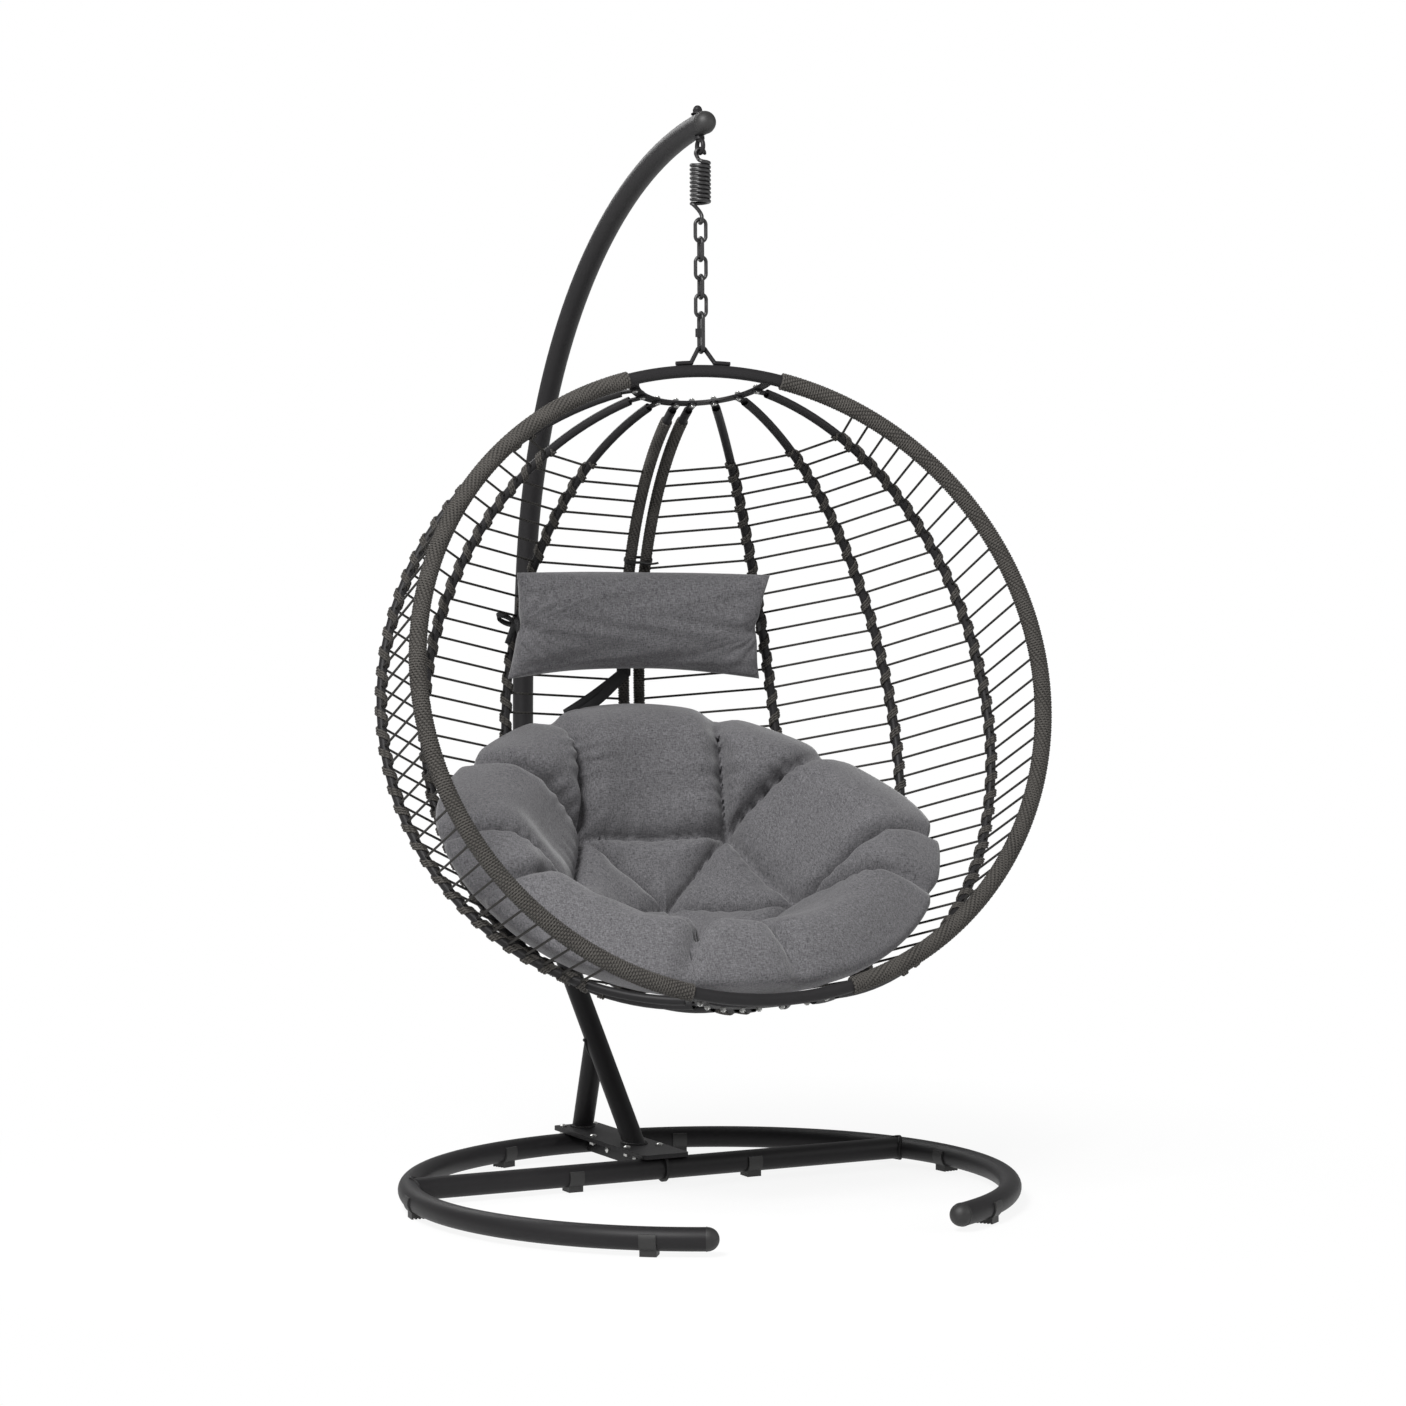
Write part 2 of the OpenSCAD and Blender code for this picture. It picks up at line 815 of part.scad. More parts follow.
module eye_bolt() {
    color(frame_colour)
        at_eye_bolt() {
            translate([0, 0, -tube_r - seat_gap - collar_t - eye_wire / 2])
                cylinder(r = eye_bolt_d / 2, h = 2 * tube_r + collar_t + eye_wire / 2 + 10);
            translate([0, 0, -tube_r - seat_gap - collar_t])
                cylinder(r = eye_bolt_d * 0.9, h = collar_t);
            translate([0, 0, -eye_drop])
                rotate([0, 90, 0])
                    rotate_extrude()
                        translate([eye_r, 0])
                            circle(eye_wire / 2);
        }
}

module eye_cap_nut() {
    dome = eye_bolt_d * 0.8;
    color(frame_colour)
        at_eye_bolt()
            translate([0, 0, tube_r + seat_gap])
                difference() {
                    union() {
                        cylinder(r = eye_bolt_d * 1.2, h = 2);
                        hex_prism(eye_bolt_d * 0.95, 8);
                        translate([0, 0, 8])
                            sphere(dome);
                    }
                    translate([0, 0, -1])
                        cylinder(r = eye_bolt_d / 2 + seat_gap / 2, h = 12);
                    translate([0, 0, -2 * dome])
                        cylinder(r = 2 * dome, h = 2 * dome);
                }
}

// The spring's wire: an open hook across the picture, the coils, and a hook turned a quarter round
function curve(a, b, c, d, t) =
    pow(1 - t, 3) * a + 3 * t * pow(1 - t, 2) * b + 3 * t * t * (1 - t) * c + pow(t, 3) * d;
function coil_point(turn) =
    [spring_r * sin(360 * turn), -spring_r * cos(360 * turn), coil_top - spring_pitch * turn];
function top_hook_point(a) = [hook_r * cos(a), 0, hook_top - hook_r + hook_r * sin(a)];
function low_hook_point(a) = [0, hook_r * cos(a), hook_bottom + hook_r + hook_r * sin(a)];
neck_pull = spring_r * 0.6;
top_neck_in = top_hook_point(210);
top_neck_out = coil_point(0);
low_neck_in = coil_point(coil_turns);
low_neck_out = low_hook_point(150);
coil_rings = 8 * coil_turns;
neck_rings = 8;
spring_path = concat(
    [for (a = [-20:23:187]) top_hook_point(a)],
    [for (i = [0:neck_rings - 1])
        curve(
            top_neck_in, top_neck_in + neck_pull * [sin(30), 0, -cos(30)],
            top_neck_out - [neck_pull, 0, -neck_pull * 0.3], top_neck_out, i / neck_rings
        )],
    [for (i = [0:coil_rings]) coil_point(i / 8)],
    [for (i = [1:neck_rings])
        curve(
            low_neck_in, low_neck_in - [0, neck_pull, neck_pull * 0.3],
            low_neck_out + neck_pull * [0, sin(30), cos(30)], low_neck_out, i / neck_rings
        )],
    [for (a = [173:23:380]) low_hook_point(a)]
);
spring_self_gap =
    min([for (i = [0:len(spring_path) - 7]) for (k = [i + 6:len(spring_path) - 1])
        norm(spring_path[i] - spring_path[k])]) - spring_wire;
echo(spring_self_gap = spring_self_gap);

module spring() {
    color(frame_colour)
        on_hang_line(0)
            swept_tube(spring_path, spring_wire / 2, 6);
}

// Oval link of round wire, its top wire at z = 0, lying across X
module oval_link(span, arc, r) {
    straight = span - 2 * arc;
    translate([0, 0, -arc])
        rotate([90, 0, 0])
            bent_rod(arc, 0, 180, r);
    translate([0, 0, -arc - straight])
        rotate([90, 0, 0])
            bent_rod(arc, 180, 180, r);
    for (x = [-arc, arc])
        translate([x, 0, -arc - straight])
            cylinder(r = r, h = straight);
}

module chain_link(number) {
    color(frame_colour)
        on_hang_line(link_1_top - (number - 1) * link_pitch)
            rotate([0, 0, number % 2 == 1 ? 0 : 90])
                oval_link(link_span, link_arc, link_wire / 2);
}

module chain_link_1() {
    chain_link(1);
}

module chain_link_2() {
    chain_link(2);
}

module chain_link_3() {
    chain_link(3);
}

module chain_link_4() {
    chain_link(4);
}

module chain_link_5() {
    chain_link(5);
}

module quick_link() {
    color(frame_colour)
        difference() {
            on_hang_line(quick_top)
                rotate([0, 0, 90])
                    oval_link(quick_span, quick_arc, quick_wire / 2);
            on_hang_line(quick_mid - quick_gap / 2)
                translate([-quick_wire, quick_arc - quick_wire, 0])
                    cube([2 * quick_wire, 2 * quick_wire, quick_gap]);
        }
}

module quick_link_nut() {
    color(frame_colour)
        on_hang_line(quick_mid - quick_nut_l / 2)
            translate([0, quick_arc, 0])
                difference() {
                    hex_prism(quick_nut_af / sqrt(3), quick_nut_l);
                    translate([0, 0, -1])
                        cylinder(r = quick_wire / 2 + 0.06, h = quick_nut_l + 2);
                }
}

// Bare stretch of rim round the top of the rim plane, with a spigot at each end
module bare_rim() {
    bore = rim_tube_r - rim_wall;
    in_rim_plane() {
        bent_pipe(rim_r, 90 - bare_angle, 2 * bare_angle, rim_tube_r, bore);
        bent_spigot(rim_r, 90 - bare_angle, 1, bore, rim_wall, spigot_l);
        bent_spigot(rim_r, 90 + bare_angle, -1, bore, rim_wall, spigot_l);
    }
}

module top_rim_tube() {
    color(frame_colour)
        in_basket()
            bare_rim();
}

module bottom_rim_tube() {
    color(frame_colour)
        in_basket()
            mirror([0, 0, 1])
                bare_rim();
}

module side_rim(outer, inner) {
    in_rim_plane()
        bent_pipe(rim_r, -90 + bare_angle, 180 - 2 * bare_angle, outer, inner);
}

module right_rim_tube() {
    color(frame_colour)
        in_basket()
            side_rim(rim_tube_r, rim_tube_r - rim_wall);
}

module left_rim_tube() {
    color(frame_colour)
        in_basket()
            mirror([1, 0, 0])
                side_rim(rim_tube_r, rim_tube_r - rim_wall);
}

module right_rim_wrap() {
    color(cord_colour)
        in_basket()
            side_rim(wrap_r, rim_tube_r + seat_gap);
}

module left_rim_wrap() {
    color(cord_colour)
        in_basket()
            mirror([1, 0, 0])
                side_rim(wrap_r, rim_tube_r + seat_gap);
}

// Bent rod: a round top, two splayed legs and two feet that lie along the rim
module hanging_loop() {
    rod_r = loop_rod / 2;
    foot_bend = rim_r + rim_tube_r + rod_r + 0.5;
    foot_from = loop_w / 2 / foot_bend * 180 / PI;
    foot_sweep = loop_foot / foot_bend * 180 / PI;
    crown = loop_rod;
    crown_z = rim_r + loop_h - crown;
    knee = foot_bend * [sin(foot_from), 0, cos(foot_from)];
    reach = [knee[0], knee[2] - crown_z];
    splay = asin(crown / norm(reach)) - atan2(reach[1], reach[0]);
    shoulder = [crown * sin(splay), 0, crown_z + crown * cos(splay)];
    color(frame_colour)
        in_basket() {
            translate([0, 0, crown_z])
                in_rim_plane()
                    bent_rod(crown, 90 - splay - 6, 2 * splay + 12, rod_r + 0.2);
            both_sides() {
                rod_between(shoulder, knee, rod_r);
                translate(knee)
                    sphere(rod_r + 0.4);
                in_rim_plane()
                    bent_rod(foot_bend, 90 - foot_from - foot_sweep, foot_sweep, rod_r);
            }
        }
}

// Place of each rib bolt: [x, y] in the plane of the half-rings
centre_bolt_y = sqrt(half_ring_r * half_ring_r - centre_rib_x * centre_rib_x);
rib_bolt_places = concat(
    [for (side = [-1, 1]) for (a = rib_angles) half_ring_r * [side * sin(a), cos(a)]],
    [for (side = [-1, 1]) [side * centre_rib_x, centre_bolt_y]]
);

// Flat bar bent to a half circle behind the rim, drilled for the ribs
module half_ring() {
    start = asin((rim_tube_r + seat_gap) / (half_ring_r - half_ring_w / 2)) + 0.3;
    translate([0, 0, half_ring_z - half_ring_t / 2])
        difference() {
            rotate([0, 0, start])
                rotate_extrude(angle = 180 - 2 * start, $fn = 180)
                    translate([half_ring_r - half_ring_w / 2, 0])
                        square([half_ring_w, half_ring_t]);
            for (p = rib_bolt_places)
                translate([p[0], p[1], -1])
                    cylinder(r = (rib_bolt_d + hole_gap) / 2, h = half_ring_t + 2);
        }
}

module top_half_ring() {
    color(frame_colour)
        in_basket()
            half_ring();
}

module bottom_half_ring() {
    color(frame_colour)
        in_basket()
            mirror([0, 0, 1])
                half_ring();
}

// Flattened end of a rib, from its bolt out to the round of the tube
module rib_tab(bolt_out) {
    tab_w = rib_d - 2;
    translate([0, 0, rib_end_z - tab_t / 2])
        linear_extrude(tab_t)
            difference() {
                union() {
                    translate([bolt_out, 0])
                        circle(tab_w / 2 + 1);
                    translate([bolt_out, -tab_w / 2])
                        square([rib_end + 12 - bolt_out, tab_w]);
                }
                translate([bolt_out, 0])
                    circle((rib_bolt_d + hole_gap) / 2);
            }
}

// Tube bent to one radius, flattened at both ends and bolted under the half-rings
module rib(angle, shift) {
    bolt_out = shift == 0 ? half_ring_r : centre_bolt_y;
    in_rib_plane(angle, shift)
        translate([rib_offset, 0, 0])
            bent_pipe(rib_bend, -rib_sweep, 2 * rib_sweep, rib_r, rib_r - rim_wall);
    translate([shift, 0, 0])
        rotate([0, 0, 90 - angle]) {
            rib_tab(bolt_out);
            mirror([0, 0, 1])
                rib_tab(bolt_out);
        }
}

module side_rib(number, side) {
    color(frame_colour)
        in_basket()
            rib(side * rib_angles[number - 1], 0);
}

module left_rib_1() {
    side_rib(1, -1);
}

module left_rib_2() {
    side_rib(2, -1);
}

module left_rib_3() {
    side_rib(3, -1);
}

module right_rib_1() {
    side_rib(1, 1);
}

module right_rib_2() {
    side_rib(2, 1);
}

module right_rib_3() {
    side_rib(3, 1);
}

module left_centre_rib() {
    color(frame_colour)
        in_basket()
            rib(0, -centre_rib_x);
}

module right_centre_rib() {
    color(frame_colour)
        in_basket()
            rib(0, centre_rib_x);
}

module centre_wrap(side) {
    color(cord_colour)
        in_basket()
            in_rib_plane(0, side * centre_rib_x)
                translate([rib_offset, 0, 0])
                    bent_pipe(rib_bend, -wrap_sweep, 2 * wrap_sweep, centre_wrap_r, rib_r + seat_gap);
}

module left_centre_wrap() {
    centre_wrap(-1);
}

module right_centre_wrap() {
    centre_wrap(1);
}

module at_rib_bolts() {
    for (flip = [0, 1])
        mirror([0, 0, flip])
            for (p = rib_bolt_places)
                translate([p[0], p[1], 0])
                    children();
}

module rib_bolts() {
    grip = tab_t + half_ring_t;
    color(bolt_colour)
        in_basket()
            at_rib_bolts()
                translate([0, 0, rib_end_z - tab_t / 2])
                    rotate([180, 0, 0])
                        button_bolt(rib_bolt_d, grip + rib_nut_h + 2);
}

module rib_nuts() {
    color(bolt_colour)
        in_basket()
            at_rib_bolts()
                translate([0, 0, half_ring_z + half_ring_t / 2])
                    hex_nut(rib_bolt_d, rib_nut_h);
}

// Cable ties round both centre ribs
module tie_outline(r) {
    for (x = [-centre_rib_x, centre_rib_x])
        translate([x, 0])
            circle(r);
    translate([-centre_rib_x, -r])
        square([2 * centre_rib_x, 2 * r]);
}

module cable_ties() {
    inner = centre_wrap_r + socket_gap;
    color(plastic_colour)
        in_basket()
            for (angle = tie_angles)
                translate([0, rib_offset, 0])
                    rotate([angle, 0, 0])
                        translate([0, rib_bend, -tie_h / 2])
                            linear_extrude(tie_h)
                                difference() {
                                    tie_outline(inner + tie_t);
                                    tie_outline(inner);
                                }
}

// One side's ropes run level between the rim and the ribs, each ending on their surface.
// A line is [point at height angle b, direction of the tube there, radius of the tube].
function rib_out(b) = rib_offset + rib_bend * cos(b);
function rib_line(a, b) =
    [[rib_out(b) * sin(a), rib_out(b) * cos(a), rib_bend * sin(b)],
        [-sin(b) * sin(a), -sin(b) * cos(a), cos(b)], rib_r];
function centre_line(b) =
    [[centre_rib_x, rib_out(b), rib_bend * sin(b)], [0, -sin(b), cos(b)], centre_wrap_r];
function rim_line(b) =
    let (rise = asin(rib_bend * sin(b) / rim_r))
    [rim_r * [cos(rise), 0, sin(rise)], [-sin(rise), 0, cos(rise)], wrap_r];
function rope_lines(b) =
    concat([rim_line(b)], [for (a = rib_angles) rib_line(a, b)], [centre_line(b)]);
function setback(line, d) =
    let (along = abs(d * line[1]))
    (line[2] + hang_gap + rope_r * along) / sqrt(1 - along * along);

module side_ropes() {
    for (k = [0:rope_count - 1]) {
        lines = rope_lines(-rope_sweep + 2 * rope_sweep * k / (rope_count - 1));
        for (i = [0:len(lines) - 2]) {
            d = unit(lines[i + 1][0] - lines[i][0]);
            rod_between(
                lines[i][0] + setback(lines[i], d) * d,
                lines[i + 1][0] - setback(lines[i + 1], d) * d,
                rope_r
            );
        }
    }
}

module right_ropes() {
    color(cord_colour)
        in_basket()
            side_ropes();
}

module left_ropes() {
    color(cord_colour)
        in_basket()
            mirror([1, 0, 0])
                side_ropes();
}

// Seat cushion over the lower wall, drawn from a flat round pattern whose edge has a radius of 1.
// Tufts in a ring and one in the middle are joined by seams, and two seams run from each to the edge.
seat_cols = 60;
tuft_count = 5;
tuft_ring = 0.48;
tuft_first = 54;
tuft_lean = 5;
tuft_spread = 13;
middle_tuft = [0, 0.05];
seam_w = 0.07;
function on_pattern(rn, th) = rn * [cos(th), sin(th)];
tuft_angles = [for (k = [0:tuft_count - 1]) tuft_first + 360 * k / tuft_count];
seams = concat(
    [for (a = tuft_angles) [on_pattern(tuft_ring, a), on_pattern(tuft_ring, a + 360 / tuft_count)]],
    [for (a = tuft_angles) [middle_tuft, on_pattern(tuft_ring, a)]],
    [for (a = tuft_angles) for (side = [-1, 1])
        [on_pattern(tuft_ring, a), on_pattern(1, a + tuft_lean * sign(cos(a)) + side * tuft_spread)]]
);
function gap_to(p, seam) =
    let (run = seam[1] - seam[0], t = min(1, max(0, (p - seam[0]) * run / (run * run))))
    norm(p - seam[0] - t * run);
function seam_gap(p) = min([for (seam = seams) gap_to(p, seam)]);
function furrow(gap, width) = exp(-pow(gap / width, 2));

// The filling is thin in the middle and swells to a roll inside the edge
function seat_height(rn, th) =
    seat_t * (0.6 + rn * rn) * pow(1 - pow(rn, 6), 0.5)
        * (1 - seat_seam * furrow(seam_gap(on_pattern(rn, th)), seam_w));
function seat_dir(rn, th) =
    wall_dir(seat_aside + seat_half_w * rn * cos(th), -seat_drop + seat_half_l * rn * sin(th));
function seat_point(rn, th, height) =
    let (d = seat_dir(rn, th))
    d * (wall_reach(d, rib_bend - seat_room) - height);
seat_edge_t = seat_t * 0.3;
seat_low_rows = [0.3, 0.6, 0.85, 0.96];
seat_high_rows = [0.97, 0.93, 0.87, 0.79, 0.7, 0.62, 0.55, 0.48, 0.41, 0.33, 0.24, 0.14];
function seat_low(rn) = seat_edge_t * pow(rn, 12) * 0.5;
function seat_high(rn, th) = max(seat_height(rn, th), seat_low(rn) + seat_edge_t * 0.4);
seat_rows = concat(
    [for (rn = seat_low_rows)
        [for (k = [0:seat_cols - 1]) seat_point(rn, 360 * k / seat_cols, seat_low(rn))]],
    [[for (k = [0:seat_cols - 1]) seat_point(1, 360 * k / seat_cols, seat_edge_t * 0.7)]],
    [for (rn = seat_high_rows)
        [for (k = [0:seat_cols - 1])
            seat_point(rn, 360 * k / seat_cols, seat_high(rn, 360 * k / seat_cols))]]
);

module seat_cushion() {
    color(fabric_colour)
        in_basket()
            closed_skin(seat_point(0, 0, 0), seat_rows, seat_point(0, 0, seat_height(0, 0)));
}

// Head pillow on the rear wall, crowned both ways, with its four sides drawn in and its ends forward
pillow_lean = asin(pillow_rise / rib_bend);
pillow_in = centre_wrap_r + pillow_t / 2 + 7;
pillow_out = rib_offset + (rib_bend - pillow_in) * cos(pillow_lean);
pillow_z = (rib_bend - pillow_in) * sin(pillow_lean);
pillow_cols = 48;
pillow_steps = [0.3, 0.55, 0.75, 0.9, 0.97];
function pillow_corner(th) =
    let (c = cos(th), s = sin(th), m = max(abs(c), abs(s)))
    [c / m, s / m];
function drawn_in(p) =
    [p[0] * (1 - 0.05 * (1 - p[1] * p[1])), p[1] * (1 - 0.09 * (1 - p[0] * p[0]))];
function pillow_point(rn, th, side) =
    let (
        edge = pillow_corner(th),
        p = drawn_in(rn * edge),
        crown = sqrt((1 - pow(rn * edge[0], 4)) * (1 - pow(rn * edge[1], 4)))
    )
    [p[0] * pillow_w / 2, side * crown * pillow_t / 2 - pillow_curl * p[0] * p[0], p[1] * pillow_h / 2];
function pillow_row(rn, side) =
    [for (k = [0:pillow_cols - 1]) pillow_point(rn, 360 * k / pillow_cols, side)];
function turned(p, a) =
    [p[0] * cos(a) - p[1] * sin(a), p[0] * sin(a) + p[1] * cos(a), p[2]];
function pillow_place(p) =
    turned(
        [p[0], pillow_out, pillow_z]
        + p[1] * [0, cos(pillow_lean), sin(pillow_lean)]
        + p[2] * [0, -sin(pillow_lean), cos(pillow_lean)],
        -pillow_aside
    );
pillow_rows = concat(
    [for (rn = pillow_steps) pillow_row(rn, 1)],
    [pillow_row(1, 0)],
    [for (i = [len(pillow_steps) - 1:-1:0]) pillow_row(pillow_steps[i], -1)]
);

module head_pillow() {
    color(fabric_colour)
        in_basket()
            closed_skin(
                pillow_place([0, pillow_t / 2, 0]),
                [for (row = pillow_rows) [for (p = row) pillow_place(p)]],
                pillow_place([0, -pillow_t / 2, 0])
            );
}

// Webbing: a flat band from point to point, its width upright, and a loop round a tube of radius r
module band(a, b) {
    d = b - a;
    translate(a)
        rotate([0, acos(d[2] / norm(d)), atan2(d[1], d[0])])
            translate([-strap_w / 2, -strap_t / 2, 0])
                cube([strap_w, strap_t, norm(d)]);
}

module rib_loop(b, r) {
    translate([rib_offset, 0, 0])
        rotate([0, -b, 0])
            translate([rib_bend, 0, -strap_w / 2])
                linear_extrude(strap_w)
                    pipe_section(r + strap_t, r);
}

module rib_room(b, r) {
    translate([rib_offset, 0, 0])
        rotate([0, -b, 0])
            translate([rib_bend, 0, -strap_w])
                cylinder(h = 2 * strap_w, r = r);
}

// Each tie loops round the rib beside the pillow and reaches in to the pillow's end
module pillow_ties() {
    tie_angle = rope_window(asin(pillow_z / rib_bend));
    rib_at = rib_line(rib_angles[2], tie_angle);
    loop_r = rib_r + loop_gap;
    color(fabric_colour)
        in_basket()
            for (s = [-1, 1]) {
                at = [s * rib_at[0][0], rib_at[0][1], rib_at[0][2]];
                end = pillow_place(pillow_point(1, 90 - 90 * s, 0) + [s * tie_out[(s + 1) / 2], 0, 0]);
                run = unit(end - at);
                rotate([0, 0, 90 - s * rib_angles[2]])
                    rib_loop(tie_angle, loop_r);
                difference() {
                    band(at + loop_r * run, end - tie_clear * run);
                    rotate([0, 0, 90 - s * rib_angles[2]])
                        rib_room(tie_angle, loop_r + strap_t / 2);
                }
            }
}

// The seat's tie loops round one centre rib and reaches down to the cushion's rear edge
module seat_strap() {
    loop_r = centre_wrap_r + loop_gap;
    rib_at = rib_line(0, strap_angle)[0] - [centre_rib_x, 0, 0];
    inward = [0, -cos(strap_angle), -sin(strap_angle)];
    start = rib_at + loop_r * inward;
    end = seat_point(1.03, 104, seat_edge_t * 0.7);
    run = unit(end - start);
    color(fabric_colour)
        in_basket() {
            translate([-centre_rib_x, 0, 0])
                rotate([0, 0, 90])
                    rib_loop(strap_angle, loop_r);
            difference() {
                band(start, end - tie_clear * run);
                translate([-centre_rib_x, 0, 0])
                    rotate([0, 0, 90])
                        rib_room(strap_angle, loop_r + strap_t / 2);
            }
        }
}

rear_ring();
left_ring_arc();
right_ring_arc();
crossbar();
ring_end_caps();
ring_feet();
crossbar_feet();
base_spine();
lower_plate();
mast_plate();
plate_bolts();
plate_nuts();
spine_bolts();
spine_nuts();
lower_mast();
middle_mast();
mast_bow();
mast_brace();
mast_end_cap();
eye_bolt();
eye_cap_nut();
spring();
chain_link_1();
chain_link_2();
chain_link_3();
chain_link_4();
chain_link_5();
quick_link();
quick_link_nut();
top_rim_tube();
bottom_rim_tube();
left_rim_tube();
right_rim_tube();
left_rim_wrap();
right_rim_wrap();
hanging_loop();
top_half_ring();
bottom_half_ring();
left_rib_1();
left_rib_2();
left_rib_3();
right_rib_1();
right_rib_2();
right_rib_3();
left_centre_rib();
right_centre_rib();
left_centre_wrap();
right_centre_wrap();
rib_bolts();
rib_nuts();
cable_ties();
left_ropes();
right_ropes();
seat_cushion();
head_pillow();
pillow_ties();
seat_strap();
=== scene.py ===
import math

import bpy
import numpy as np
from mathutils import Matrix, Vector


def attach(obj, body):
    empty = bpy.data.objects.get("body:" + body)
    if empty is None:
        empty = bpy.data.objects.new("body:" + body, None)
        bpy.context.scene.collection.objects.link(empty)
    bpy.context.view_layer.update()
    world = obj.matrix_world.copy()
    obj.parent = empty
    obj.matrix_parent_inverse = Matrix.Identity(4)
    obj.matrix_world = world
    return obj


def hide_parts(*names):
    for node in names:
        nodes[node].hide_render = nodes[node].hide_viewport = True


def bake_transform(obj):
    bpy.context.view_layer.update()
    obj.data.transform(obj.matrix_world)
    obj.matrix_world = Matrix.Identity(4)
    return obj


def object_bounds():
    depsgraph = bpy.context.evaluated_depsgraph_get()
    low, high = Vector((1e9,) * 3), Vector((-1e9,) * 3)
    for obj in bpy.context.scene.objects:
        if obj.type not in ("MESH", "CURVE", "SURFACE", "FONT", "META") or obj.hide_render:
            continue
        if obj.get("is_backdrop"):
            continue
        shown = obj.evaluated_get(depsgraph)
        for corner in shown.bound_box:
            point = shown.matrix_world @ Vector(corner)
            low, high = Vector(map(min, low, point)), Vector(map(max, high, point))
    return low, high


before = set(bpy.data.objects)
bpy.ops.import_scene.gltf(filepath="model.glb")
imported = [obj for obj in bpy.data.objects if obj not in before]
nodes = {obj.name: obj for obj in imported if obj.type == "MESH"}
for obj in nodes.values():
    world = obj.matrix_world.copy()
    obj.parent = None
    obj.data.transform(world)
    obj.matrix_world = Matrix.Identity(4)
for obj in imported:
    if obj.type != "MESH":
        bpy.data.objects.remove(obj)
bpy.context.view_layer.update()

# Camera
# A long lens a little above seat height, looking slightly down, with the chair
# turned so that its open front faces to the right of the camera.
view_turn = math.radians(-18.3)
view_right = (0.99998, 0.00084, -0.00543)
view_up = (0.00539, 0.04338, 0.99904)
view_back = (0.00108, -0.99906, 0.04338)
view_place = (0, -6.6811, 1.1459)
picture_width, focal_length, film_width = 1406, 3781.6, 36.0
ring_centre = np.array((0.002205, -0.150665, 0.028))


def turned(v):
    """Turns a direction about the upright by the angle between photo and chair."""
    c, s = math.cos(view_turn), math.sin(view_turn)
    return (c * v[0] - s * v[1], s * v[0] + c * v[1], v[2])


lens = bpy.data.cameras.new("studio_camera")
lens.sensor_width = film_width
lens.lens = focal_length / picture_width * film_width
lens.clip_end = 60
camera = bpy.data.objects.new("studio_camera", lens)
bpy.context.scene.collection.objects.link(camera)
axes = np.eye(4)
for column, direction in enumerate((view_right, view_up, view_back)):
    axes[:3, column] = turned(direction)
axes[:3, 3] = ring_centre + np.array(turned(view_place))
camera.matrix_world = Matrix(axes.tolist())
bpy.context.scene.camera = camera
bpy.context.scene.view_settings.view_transform = "Standard"


# Studio
# A white floor that keeps a soft shadow, a white surround, one large soft lamp
# from the upper left, a weaker one from the right and another from behind.
class Shade:
    """A value in a material: operators add Math nodes, make() adds any other node."""

    def __init__(self, tree, socket=None):
        self.tree, self.socket = tree, socket

    def make(self, kind, inputs=(), out=0, **settings):
        """Adds a node: settings first, then its sockets' values or links."""
        node = self.tree.nodes.new(kind)
        for key, value in settings.items():
            setattr(node, key, value)
        for key, value in dict(inputs).items():
            if isinstance(value, Shade):
                self.tree.links.new(value.socket, node.inputs[key])
            else:
                node.inputs[key].default_value = value
        return Shade(self.tree, node.outputs[out])

    def math(self, operation, *values):
        """One Math node on values or numbers."""
        return self.make("ShaderNodeMath", enumerate(values), operation=operation)

    def __add__(self, other):
        return self.math("ADD", self, other)

    __radd__ = __add__

    def __mul__(self, other):
        return self.math("MULTIPLY", self, other)

    __rmul__ = __mul__

    def __sub__(self, other):
        return self.math("SUBTRACT", self, other)

    def __rsub__(self, other):
        return self.math("SUBTRACT", other, self)

    def sine(self):
        return self.math("SINE", self)

    def most(self, other):
        return self.math("MAXIMUM", self, other)

    def clamped(self):
        return self.make("ShaderNodeClamp", {"Value": self})

    def between(self, low, high):
        """Colour between two colours, by this value."""
        return self.make(
            "ShaderNodeMix", {0: self, 6: (*low, 1), 7: (*high, 1)}, out=2, data_type="RGBA"
        )


def start_material(name):
    """New node material with only a Principled shader, and a handle to add nodes with."""
    material = bpy.data.materials.new(name)
    material.use_nodes = True
    tree = material.node_tree
    return material, Shade(tree), tree.nodes["Principled BSDF"]


def finish_shader(shade, shader, colour, roughness, height=None, depth=0.001, **fixed):
    """Links colour, roughness and a bump of the given depth in metres; sets the rest plainly."""
    for key, value in (("Base Color", colour), ("Roughness", roughness)):
        if isinstance(value, Shade):
            shade.tree.links.new(value.socket, shader.inputs[key])
        else:
            shader.inputs[key].default_value = value
    if height is not None:
        bump = shade.make("ShaderNodeBump", {"Height": height, "Distance": depth, "Strength": 1.0})
        shade.tree.links.new(bump.socket, shader.inputs["Normal"])
    for key, value in fixed.items():
        shader.inputs[key.replace("_", " ")].default_value = value


floor_reach, floor_height = 40.0, -0.001
shadow_near, shadow_far, shadow_share = 0.5, 1.5, 0.12
floor_mesh = bpy.data.meshes.new("studio_floor")
floor_mesh.from_pydata(
    [(floor_reach * x, floor_reach * y, floor_height) for x, y in ((-1, -1), (1, -1), (1, 1), (-1, 1))],
    [],
    [(0, 1, 2, 3)],
)
floor = bpy.data.objects.new("studio_floor", floor_mesh)
bpy.context.scene.collection.objects.link(floor)
floor_paint, shade, shader = start_material("studio_floor_white")
finish_shader(shade, shader, colour=(0.9, 0.9, 0.9, 1), roughness=0.9, Specular_IOR_Level=0.1)
seen = shade.make("ShaderNodeLightPath", out="Is Camera Ray")
shone = shade.make("ShaderNodeLightPath", out="Is Glossy Ray")
glow = shade.make("ShaderNodeEmission", {"Color": (1, 1, 1, 1), "Strength": 1.0})
spot = shade.make("ShaderNodeTexCoord", out="Object")
